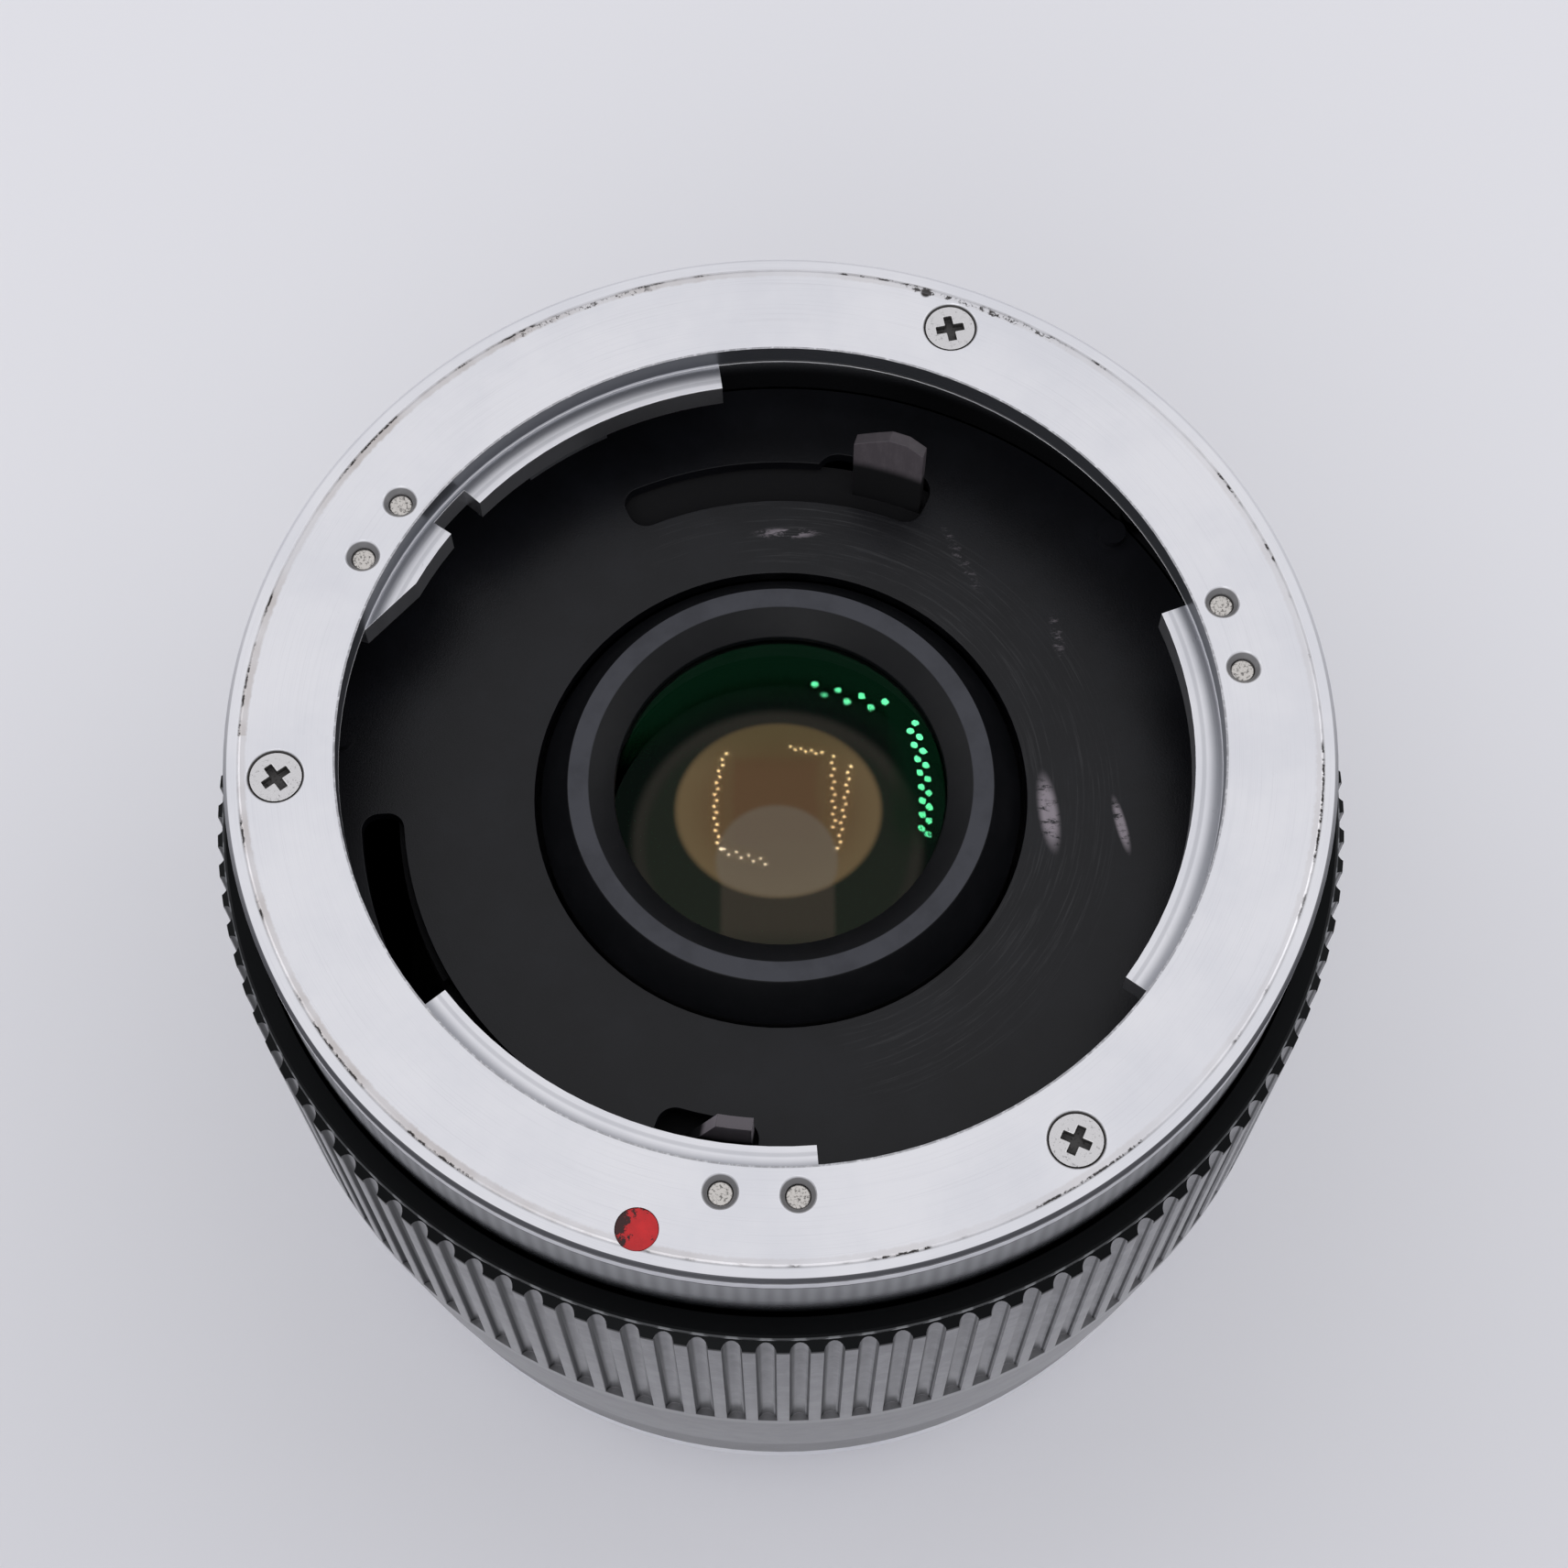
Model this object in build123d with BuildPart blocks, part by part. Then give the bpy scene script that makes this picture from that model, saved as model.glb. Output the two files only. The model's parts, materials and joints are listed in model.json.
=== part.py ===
"""A focusing teleconverter for a single-lens camera, 47 mm from face to face.

The part stands on the end of its rear spigot, with the optical axis along +Z and the
lens-facing mount on top. Angles are counted from +X, counterclockwise seen from above.
Turning the knurled ring runs the front barrel up and down on a helicoid, while the
glass stays with the rear body. Two pairs of linked rings carry the camera's aperture
movements through to the lens.
"""

import os
from math import asin, cos, degrees, radians, sin, sqrt

from build123d import *

# Lengths along the axis
spigot_depth = 5.2
body_length = 47.0
travel = 20.0

# Running fits, seats and cuts
slip = 0.1
snug = 0.05
seat_gap = 0.02
air_gap = 0.3
overrun = 2.0

# Front bayonet plate
throat_r = 23.75
flange_r = 29.7
rim_thickness = 1.35
rim_chamfer = 0.15
throat_depth = 2.3
relief_step = 0.4  # below the tabs' tops, where the lugs of a lens turn, the wall stands back
step_r = 28.9
step_width = 0.12
step_depth = 0.05
tab_r = 22.3
tab_root = 0.45
tab_top_depth = 1.5
tab_bottom_depth = 3.2
tab_spans = [(-141.7, -85.5), (-36.5, 20.4), (98.3, 163.0)]
tab_end_angle = 2.2
last_tab_end = 153.5
notch_span = (138.5, 144.8)
notch_rim = 0.25

# Screws and rivets of the front bayonet plate
screw_circle_r = 26.9
screw_angles = [68.9, -175.0, -56.5]
screw_head_r = 1.57
screw_shank_r = 0.6
screw_length = 5.0
screw_recess = 0.1
cross_width = 0.45
cross_depth = 0.45
rivet_circle_r = 25.23
rivet_angles = [(8.7, 17.8), (146.1, 154.8), (-97.1, -88.2)]
rivet_r = 0.65
rivet_mouth_r = 0.97
rivet_recess = 0.45
rivet_depth = 1.1
rivet_shank_r = 0.4
rivet_foot_r = 0.6
rivet_foot = 0.25
dot_circle_r = 27.92
dot_angle = -105.1
dot_r = 1.1
dot_depth = 0.3

# Leaf springs under the bayonet plate
leaf_thickness = 0.3
leaf_drop = 1.0
leaf_width = 1.5
leaf_end_angle = 4.0
leaf_arm_angle = 26.0

# Front barrel
neck_step = 0.05
upper_bore_r = 26.0
lower_bore_r = 26.2
barrel_clear = 0.3
thread_rise = 0.3
shelf_inner_r = 24.2
shelf_thickness = 0.7

# Front baffle, with the slots of the two levers and of the lens's own pin
baffle_depth = 8.2
baffle_thickness = 0.8
baffle_hole_r = 13.75
upper_slot_r = (18.45, 21.0)
upper_slot_span = (65.0, 116.5)
upper_slot_wide_r = 21.8
upper_slot_wide_angle = 19.0
side_slot_r = (21.05, 23.4)
side_slot_span = (-177.0, -118.0)
lower_slot_r = (19.05, 21.6)
lower_slot_span = (-109.5, -93.6)
slot_corner_share = 0.4
baffle_screw_r = 25.05
baffle_screw_angles = [40.0, 172.0, -65.0]
small_head_r = 0.8
small_shank_r = 0.4
small_head = 0.5

# Lever rings, alike at the front and at the rear
hub_inner_r = 16.3
hub_r = 17.5
hub_flange_r = 18.8
hub_flange = 0.8
ring_outer_r = 21.4
ring_thickness = 1.0
ring_gap = 0.2
lever_r = (19.8, 20.5)
leg_r = (20.1, 21.2)
bar_width = 3.0
prong_width = 1.6
bar_engagement = 3.4
aperture_bar_angle = 72.0
aperture_swing = 36.0
aperture_ring_gap = (-150.0, -90.0)
aperture_lever_span = (66.0, 77.5)
aperture_lever_top = 1.9
aperture_lever_drops = (1.3, 0.6)
aperture_lever_corner = 1.1
aperture_rear_span = (79.0, 86.0)
stop_bar_angle = -101.0
stop_swing = 5.0
stop_ring_gap = (58.0, 134.0)
stop_lever_span = (-105.5, -94.5)
stop_lever_top = 5.0
stop_lever_crown = 1.9
stop_lever_ramp = 5.6
stop_rear_span = (-113.5, -107.5)
rear_lever_clear = 0.35

# Focus ring
grip_step = 0.45
grip_top_depth = 7.1
grip_edge_depth = 8.4
groove_count = 110
groove_r = 0.56
groove_depth = 0.46
groove_end_depth = 26.5
skirt_start_depth = 27.3
skirt_taper = 1.05
lip_wall = 1.2
lip_height = 0.4
lip_chamfer = 0.2
notch_depth = 0.5
lip_thickness = 1.8
land_step = 0.75
retainer_thickness = 0.9
retainer_bite = 0.45

# Rear barrel
shell_foot_step = 0.05
shell_top_step = 0.2
shell_height = 5.7
land_height = 4.0
sleeve_wall = 1.8
sleeve_top_depth = 10.0
base_bore_r = 21.8
plate_seat_height = 4.2
key_width = 4.0
key_height = 1.6
key_length = 4.8
key_screw_r = 0.6
key_screw_head_r = 1.1
key_screw_head = 0.5
key_screw_shares = [0.25, 0.75]

# Rear bayonet
rear_plate = 1.8
spigot_r = 22.15
spigot_bore_r = 21.2
lug_r = 23.5
lug_gap = 3.35
lug_foot = 0.3
lug_spans = [(-136.0, -92.0), (-27.0, 15.0), (100.0, 137.0)]
rear_baffle_foot = 1.2
rear_baffle_thickness = 0.8
rear_ledge = 0.3
rear_ledge_height = 0.8
rear_slot_inner_r = 19.3
rear_slot_play_angle = 2.0
rear_screw_r = 26.2

# Optical unit
plate_thickness = 1.5
plate_slot_r = (19.7, 21.65)
plate_slot_play_angle = 3.5
plate_screw_circle_r = 23.05
plate_screw_angles = [45.0, 165.0, -75.0]
plate_screw_head_r = 1.0
plate_screw_length = 3.6
tube_r = 15.0
tube_front_r = 13.4
tube_front_length = 5.0
tube_rear_r = 12.4
tube_rear_length = 6.0
tube_foot = 2.0
tube_flange_r = 15.9
tube_flange = 1.0
tube_nut_r = 16.1
tube_nut = 0.9
lens_bore_r = 10.4
cell_top_depth = 6.3
cell_face_r = (10.65, 11.8)
cell_glass_r = 9.25
cell_glass_depth = 7.4
cell_skirt_r = 11.9
cell_skirt_length = 4.6
cell_foot_depth = 8.6
glass_rim_depth = 7.95
rear_ring_thickness = 1.2
rear_ring_r = 9.4
spacer_wall = 0.4
spacer_seat_gap = 0.2
glass_seat_gap = 0.25
cement = 0.05

# Glass, from the front: how thick each rim is as a share of the stack length, the space
# to the next one as a share of all the space between them, where none means cemented,
# and how far each face bulges outwards at its centre as a share of the lens radius
lens_edge_shares = [0.054, 0.085, 0.030, 0.085, 0.035, 0.080, 0.056]
lens_space_shares = [0.06, 0, 0.38, 0.36, 0, 0.20]
lens_front_bulge_shares = [0.10, -0.06, 0.14, 0.06, 0.12, -0.15, 0.09]
lens_rear_bulge_shares = [0.05, -0.14, 0.08, -0.15, 0.15, 0.03, 0.04]

# Lens lock
lock_angle = 141.6
lock_circle_r = 22.95
lock_pin_r = 0.65
lock_reach = 2.3
lock_travel = 1.6
lock_head_r = 1.1
lock_head = 0.6
lock_head_rise = 0.9
tongue_thickness = 0.75
tongue_width = 3.4
tongue_fork = 1.7
tongue_tip_r = 22.3
shaft_height = 2.35
shaft_inset = 1.75
cap_width = 6.0
cap_rise = 0.6
cap_height = 4.0
cap_proud = 1.05
cap_fillet = 0.5
lock_spring_r = 1.0
lock_spring_bore_r = 0.5

full_turn = 360
retainer_gap_angle = 20

# Radii worked out from the sizes above, from the neck outwards
neck_r = flange_r - neck_step
land_r = neck_r - land_step
lip_r = neck_r + slip + lip_wall
notch_r = lip_r - notch_depth
grip_r = lip_r + grip_step
skirt_end_r = grip_r - skirt_taper
shell_foot_r = flange_r + shell_foot_step
shell_top_r = skirt_end_r - shell_top_step
shaft_r = shell_top_r - shaft_inset
cap_face_r = shell_top_r + cap_proud

# Heights worked out from the sizes above
front_z = spigot_depth + body_length
neck_top_z = front_z - rim_thickness
baffle_z = front_z - baffle_depth
baffle_foot_z = baffle_z - baffle_thickness
shelf_foot_z = baffle_foot_z - shelf_thickness
shell_z = spigot_depth + rear_plate
shoulder_z = shell_z + shell_height
land_z = shoulder_z + land_height
barrel_foot_z = land_z + barrel_clear
sleeve_top_z = front_z - sleeve_top_depth
key_foot_z = sleeve_top_z - key_length
plate_foot_z = shell_z + plate_seat_height
plate_z = plate_foot_z + plate_thickness
sleeve_r = lower_bore_r - slip
sleeve_bore_r = sleeve_r - sleeve_wall
grip_z = front_z - grip_top_depth
grip_foot_z = shoulder_z + air_gap
lip_foot_z = grip_z - lip_thickness
thread_r = neck_r + thread_rise
thread_bore_r = thread_r + slip
shoulder_stop_z = lip_foot_z - travel - snug
lever_mid_r = (leg_r[0] + leg_r[1]) / 2
hub_depth = 2 * ring_thickness + 3 * ring_gap

os.makedirs("parts", exist_ok=True)


def around(radius, angle, height=0):
    """Point at an angle on a circle about the optical axis."""
    return (radius * cos(radians(angle)), radius * sin(radians(angle)), height)


def sector(inner, outer, start, end):
    """Flat face between two radii and two angles."""
    with BuildSketch(mode=Mode.PRIVATE) as shape:
        with BuildLine():
            outside = CenterArc((0, 0), outer, start, end - start)
            inside = CenterArc((0, 0), inner, start, end - start)
            Line(outside @ 0, inside @ 0)
            Line(outside @ 1, inside @ 1)
        make_face()
    return shape.sketch


def rounded_sector(inner, outer, start, end):
    """The same face with its four corners rounded."""
    with BuildSketch(mode=Mode.PRIVATE) as shape:
        add(sector(inner, outer, start, end))
        fillet(shape.vertices(), slot_corner_share * (outer - inner))
    return shape.sketch


def facing(angle):
    """Plane through the axis whose X runs along the turn and whose normal points outwards."""
    return Plane(origin=(0, 0, 0), x_dir=around(1, angle + 90), z_dir=around(1, angle))


def spread(width, radius):
    """Half the angle that a width takes up on a circle."""
    return degrees(asin(width / 2 / radius))


def save(piece, name):
    """Label a finished piece and write it."""
    piece.part.label = name
    export_step(piece.part, f"parts/{name}.step")


# Front bayonet plate: a flat ring with three inward tabs, a step line round its face,
# countersunk screw holes, riveted spring pins and a cup for the index dot
with BuildPart() as front_bayonet:
    with BuildSketch(Plane.XZ):
        with BuildLine():
            Polyline(
                (throat_r, front_z),
                (step_r - step_width, front_z),
                (step_r, front_z - step_depth),
                (step_r + step_width, front_z),
                (flange_r - rim_chamfer, front_z),
                (flange_r, front_z - rim_chamfer),
                (flange_r, neck_top_z),
                (upper_bore_r - snug, neck_top_z),
                (upper_bore_r - snug, front_z - throat_depth),
                (throat_r + relief_step, front_z - throat_depth),
                (throat_r + relief_step, front_z - tab_top_depth),
                (throat_r, front_z - tab_top_depth),
                close=True,
            )
        make_face()
    revolve(axis=Axis.Z)
    with BuildSketch(Plane.XY.offset(front_z - tab_bottom_depth)):
        for start, end in tab_spans:
            add(sector(tab_r, throat_r + tab_root, start, end))
    extrude(amount=tab_bottom_depth - tab_top_depth)
    # The lock notch in the third tab, and that tab's slanted end
    with BuildSketch(Plane.XY.offset(front_z - tab_bottom_depth)):
        add(sector(tab_r - overrun, throat_r - notch_rim, *notch_span))
        with BuildLine():
            tail = Polyline(
                around(tab_r - snug, last_tab_end)[:2],
                around(throat_r, tab_spans[2][1])[:2],
                around(tab_r - overrun, tab_spans[2][1] + tab_end_angle)[:2],
                close=True,
            )
        make_face()
    extrude(amount=tab_bottom_depth - tab_top_depth, mode=Mode.SUBTRACT)
    # Screws, rivets and index dot
    for angle in screw_angles:
        with Locations(Location(around(screw_circle_r, angle, front_z))):
            CounterSinkHole(screw_shank_r + snug, screw_head_r, rim_thickness + overrun)
    for pair in rivet_angles:
        for angle in pair:
            with Locations(Location(around(rivet_circle_r, angle, front_z))):
                CounterSinkHole(rivet_r + seat_gap, rivet_mouth_r, rivet_depth)
                Hole(rivet_shank_r + seat_gap, throat_depth + overrun)
    with Locations(Location(around(dot_circle_r, dot_angle, front_z))):
        Hole(dot_r + seat_gap, dot_depth)
save(front_bayonet, "front_bayonet")

# Countersunk cross-head screws that hold the front bayonet plate
screw_head_depth = screw_head_r - screw_shank_r
with BuildPart() as front_mount_screws:
    for angle in screw_angles:
        foot = around(screw_circle_r, angle, front_z - screw_length)
        with BuildSketch(Plane(origin=foot)):
            Circle(screw_shank_r)
        extrude(amount=screw_length - screw_head_depth)
        head = around(screw_circle_r, angle, front_z - screw_recess - seat_gap)
        with BuildSketch(Plane(origin=head)):
            Circle(screw_head_r - screw_recess - 2 * seat_gap)
        with BuildSketch(Plane(origin=head).offset(-(screw_head_depth - screw_recess))):
            Circle(screw_shank_r)
        loft()
        with BuildSketch(Plane(origin=head, x_dir=around(1, angle + 32))):
            Rectangle(cross_width, screw_head_r)
            Rectangle(screw_head_r, cross_width)
        extrude(amount=-cross_depth, mode=Mode.SUBTRACT)
save(front_mount_screws, "front_mount_screws")

# Rivets that hold the leaf springs under the plate, sunk below its face
leaf_top_z = front_z - throat_depth - seat_gap
rivet_foot_z = leaf_top_z - leaf_thickness - seat_gap
rivet_seat_z = front_z - rivet_depth + seat_gap
with BuildPart() as spring_rivets:
    for pair in rivet_angles:
        for angle in pair:
            with BuildSketch(Plane(origin=around(rivet_circle_r, angle, rivet_foot_z))):
                Circle(rivet_foot_r)
            extrude(amount=-rivet_foot)
            with BuildSketch(Plane(origin=around(rivet_circle_r, angle, rivet_foot_z))):
                Circle(rivet_shank_r)
            extrude(amount=rivet_seat_z - rivet_foot_z)
            with BuildSketch(Plane(origin=around(rivet_circle_r, angle, rivet_seat_z))):
                Circle(rivet_r)
            extrude(amount=front_z - rivet_recess - rivet_seat_z)
save(spring_rivets, "spring_rivets")

# Leaf springs: each is riveted flat under the plate, steps down and reaches in below a tab
for number, (first, last) in enumerate(rivet_angles):
    with BuildPart() as leaf:
        outer = upper_bore_r - snug - slip
        with BuildSketch(Plane.XY.offset(leaf_top_z)):
            add(sector(outer - leaf_width, outer, first - leaf_end_angle, last + leaf_end_angle))
            for angle in (first, last):
                with Locations(around(rivet_circle_r, angle)[:2]):
                    Circle(rivet_shank_r + seat_gap, mode=Mode.SUBTRACT)
        extrude(amount=-leaf_thickness)
        arm_start = first - leaf_end_angle
        arm_end = arm_start - leaf_arm_angle
        with BuildSketch(Plane.XY.offset(leaf_top_z)):
            add(sector(outer - leaf_width, outer, arm_start, arm_start + tab_end_angle / 2))
        extrude(amount=-leaf_drop - leaf_thickness)
        with BuildSketch(Plane.XY.offset(leaf_top_z - leaf_drop)):
            add(sector(outer - leaf_width, outer, arm_end, arm_start + tab_end_angle / 2))
            add(sector(tab_r + snug, outer, arm_end, arm_end + leaf_arm_angle / 2))
        extrude(amount=-leaf_thickness)
    save(leaf, f"mount_spring_{number + 1}")

# Red index dot, a disc of paint in its cup
with BuildPart() as index_dot:
    with BuildSketch(Plane(origin=around(dot_circle_r, dot_angle, front_z - dot_depth))):
        Circle(dot_r)
    extrude(amount=dot_depth - seat_gap)
save(index_dot, "index_dot")

# Front barrel: the glossy neck above, the helicoid's male thread round its foot, a shelf
# for the baffle inside and a straight slot that the guide key runs in
with BuildPart() as front_barrel:
    with BuildSketch(Plane.XZ):
        with BuildLine():
            Polyline(
                (upper_bore_r, neck_top_z),
                (neck_r, neck_top_z),
                (neck_r, shoulder_stop_z),
                (thread_r, shoulder_stop_z - thread_rise),
                (thread_r, barrel_foot_z),
                (lower_bore_r, barrel_foot_z),
                (lower_bore_r, shelf_foot_z),
                (shelf_inner_r, shelf_foot_z),
                (shelf_inner_r, baffle_foot_z),
                (upper_bore_r, baffle_foot_z),
                close=True,
            )
        make_face()
    revolve(axis=Axis.Z)
    key_spread = spread(key_width + slip, lower_bore_r)
    with BuildSketch(Plane.XY.offset(barrel_foot_z)):
        add(sector(lower_bore_r - snug, sleeve_r + key_height + slip, -key_spread, key_spread))
    extrude(amount=sleeve_top_z + air_gap - barrel_foot_z, mode=Mode.SUBTRACT)
    for angle in screw_angles:
        with Locations(Location(around(screw_circle_r, angle, neck_top_z))):
            Hole(screw_shank_r + seat_gap, screw_length)
    for angle in baffle_screw_angles:
        with Locations(Location(around(baffle_screw_r, angle, baffle_foot_z))):
            Hole(small_shank_r + seat_gap, shelf_thickness)
save(front_barrel, "front_barrel")

# Front baffle: a matt plate with a round window for the lens cell and three arc slots,
# the upper one wider where the lever is put in
with BuildPart() as front_baffle:
    with BuildSketch(Plane.XY.offset(baffle_foot_z)):
        Circle(upper_bore_r - snug)
        Circle(baffle_hole_r, mode=Mode.SUBTRACT)
        wide_span = (upper_slot_span[0], upper_slot_span[0] + upper_slot_wide_angle)
        add(rounded_sector(*upper_slot_r, *upper_slot_span), mode=Mode.SUBTRACT)
        add(rounded_sector(upper_slot_r[0], upper_slot_wide_r, *wide_span), mode=Mode.SUBTRACT)
        add(rounded_sector(*side_slot_r, *side_slot_span), mode=Mode.SUBTRACT)
        add(rounded_sector(*lower_slot_r, *lower_slot_span), mode=Mode.SUBTRACT)
        for angle in baffle_screw_angles:
            with Locations(around(baffle_screw_r, angle)[:2]):
                Circle(small_shank_r + seat_gap, mode=Mode.SUBTRACT)
    extrude(amount=baffle_thickness)
save(front_baffle, "front_baffle")

# Small screws that hold the baffle down on the barrel's shelf
with BuildPart() as baffle_screws:
    for angle in baffle_screw_angles:
        with BuildSketch(Plane(origin=around(baffle_screw_r, angle, shelf_foot_z))):
            Circle(small_shank_r)
        extrude(amount=shelf_thickness + baffle_thickness)
        with BuildSketch(Plane(origin=around(baffle_screw_r, angle, baffle_z))):
            Circle(small_head_r)
        extrude(amount=small_head)
save(baffle_screws, "baffle_screws")

# Lever hubs: a short flanged sleeve under the front baffle and another under the lens
# plate, round which the lever rings turn
for name, top_z in (("front_lever_hub", baffle_foot_z), ("rear_lever_hub", plate_foot_z)):
    with BuildPart() as hub:
        with BuildSketch(Plane.XZ):
            with BuildLine():
                Polyline(
                    (hub_inner_r, top_z),
                    (hub_r, top_z),
                    (hub_r, top_z - hub_depth),
                    (hub_flange_r, top_z - hub_depth),
                    (hub_flange_r, top_z - hub_depth - hub_flange),
                    (hub_inner_r, top_z - hub_depth - hub_flange),
                    close=True,
                )
            make_face()
        revolve(axis=Axis.Z)
    save(hub, name)

# Lever rings. Each is an open ring: the gap in one lets the other's lever through. The
# front rings carry the levers that the lens meets and a pair of prongs that hang down.
# The rear rings carry the levers that the camera meets and a bar that stands up between
# the prongs, so each pair turns together while the front barrel slides.
front_upper_z = baffle_foot_z - ring_gap - ring_thickness
front_lower_z = front_upper_z - ring_gap - ring_thickness
rear_upper_z = plate_foot_z - ring_gap - ring_thickness
rear_lower_z = rear_upper_z - ring_gap - ring_thickness
bar_spread = spread(bar_width, lever_mid_r)
prong_start = spread(bar_width + 2 * slip, lever_mid_r)
prong_end = spread(bar_width + 2 * slip + 2 * prong_width, lever_mid_r)
bar_top_z = front_lower_z - air_gap
prong_foot_z = bar_top_z - bar_engagement - travel
rear_lever_z = rear_lever_clear

with BuildPart() as aperture_blade:
    lever_top_z = front_z - aperture_lever_top
    half_width = lever_r[1] * sin(radians(aperture_lever_span[1] - aperture_lever_span[0]) / 2)
    with BuildSketch(facing(sum(aperture_lever_span) / 2)):
        with BuildLine():
            Polyline(
                (-half_width, front_upper_z),
                (-half_width, lever_top_z - aperture_lever_drops[1]),
                (-half_width / 2, lever_top_z),
                (0, lever_top_z),
                (half_width, lever_top_z - aperture_lever_drops[0]),
                (half_width, front_upper_z),
                close=True,
            )
        make_face()
    extrude(amount=ring_outer_r)
    with BuildSketch(Plane.XY.offset(front_upper_z)):
        Circle(lever_r[1])
        Circle(lever_r[0], mode=Mode.SUBTRACT)
    extrude(amount=lever_top_z - front_upper_z, mode=Mode.INTERSECT)

with BuildPart() as stop_blade:
    lever_top_z = front_z - stop_lever_top
    half_width = lever_r[1] * sin(radians(stop_lever_span[1] - stop_lever_span[0]) / 2)
    with BuildSketch(facing(sum(stop_lever_span) / 2)):
        with BuildLine():
            Polyline(
                (-half_width, front_lower_z),
                (-half_width, lever_top_z - stop_lever_ramp),
                (half_width - stop_lever_crown, lever_top_z),
                (half_width, lever_top_z),
                (half_width, front_lower_z),
                close=True,
            )
        make_face()
    extrude(amount=ring_outer_r)
    with BuildSketch(Plane.XY.offset(front_lower_z)):
        Circle(lever_r[1])
        Circle(lever_r[0], mode=Mode.SUBTRACT)
    extrude(amount=lever_top_z - front_lower_z, mode=Mode.INTERSECT)

for name, foot_z, gap, bar_angle, blade in (
    ("front_aperture_ring", front_upper_z, aperture_ring_gap, aperture_bar_angle, aperture_blade),
    ("front_stop_down_ring", front_lower_z, stop_ring_gap, stop_bar_angle, stop_blade),
):
    with BuildPart() as lever_ring:
        with BuildSketch(Plane.XY.offset(foot_z)):
            add(sector(hub_r + slip, ring_outer_r, gap[1], gap[0] + full_turn))
        extrude(amount=ring_thickness)
        with BuildSketch(Plane.XY.offset(prong_foot_z)):
            add(sector(*leg_r, bar_angle + prong_start, bar_angle + prong_end))
            add(sector(*leg_r, bar_angle - prong_end, bar_angle - prong_start))
        extrude(amount=foot_z + ring_thickness - prong_foot_z)
        add(blade.part)
    save(lever_ring, name)

for name, foot_z, gap, bar_angle, span in (
    ("rear_aperture_ring", rear_upper_z, aperture_ring_gap, aperture_bar_angle, aperture_rear_span),
    ("rear_stop_down_ring", rear_lower_z, stop_ring_gap, stop_bar_angle, stop_rear_span),
):
    with BuildPart() as lever_ring:
        with BuildSketch(Plane.XY.offset(foot_z)):
            add(sector(hub_r + slip, ring_outer_r, gap[1], gap[0] + full_turn))
        extrude(amount=ring_thickness)
        with BuildSketch(Plane.XY.offset(foot_z)):
            add(sector(*leg_r, bar_angle - bar_spread, bar_angle + bar_spread))
        extrude(amount=bar_top_z - foot_z)
        with BuildSketch(Plane.XY.offset(rear_lever_z)):
            add(sector(*lever_r, *span))
        extrude(amount=foot_z + ring_thickness - rear_lever_z)
    save(lever_ring, name)

# Focus ring: a knurled barrel of half-round grooves that run out through a chamfer under
# a thin lip, a tapered skirt, the helicoid's female thread inside and a bearing at the foot
land_bore_r = land_r + slip
retainer_z = shoulder_z + land_height / 2
with BuildPart() as focus_ring:
    with BuildSketch(Plane.XZ):
        with BuildLine():
            Polyline(
                (neck_r + slip, grip_z),
                (lip_r - lip_chamfer, grip_z),
                (lip_r, grip_z - lip_chamfer),
                (lip_r, grip_z - lip_height),
                (notch_r, grip_z - lip_height - lip_chamfer),
                (grip_r, front_z - grip_edge_depth),
                (grip_r, front_z - skirt_start_depth),
                (skirt_end_r, grip_foot_z),
                (land_bore_r, grip_foot_z),
                (land_bore_r, retainer_z - slip),
                (land_bore_r + retainer_bite + slip, retainer_z - slip),
                (land_bore_r + retainer_bite + slip, retainer_z + retainer_thickness + slip),
                (land_bore_r, retainer_z + retainer_thickness + slip),
                (land_bore_r, land_z),
                (thread_bore_r, land_z),
                (thread_bore_r, lip_foot_z),
                (neck_r + slip, lip_foot_z),
                close=True,
            )
        make_face()
    revolve(axis=Axis.Z)
    with BuildSketch(Plane.XY.offset(front_z - groove_end_depth)):
        with PolarLocations(grip_r - groove_depth + groove_r, groove_count):
            Circle(groove_r)
    extrude(amount=groove_end_depth, mode=Mode.SUBTRACT)
save(focus_ring, "focus_ring")

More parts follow.
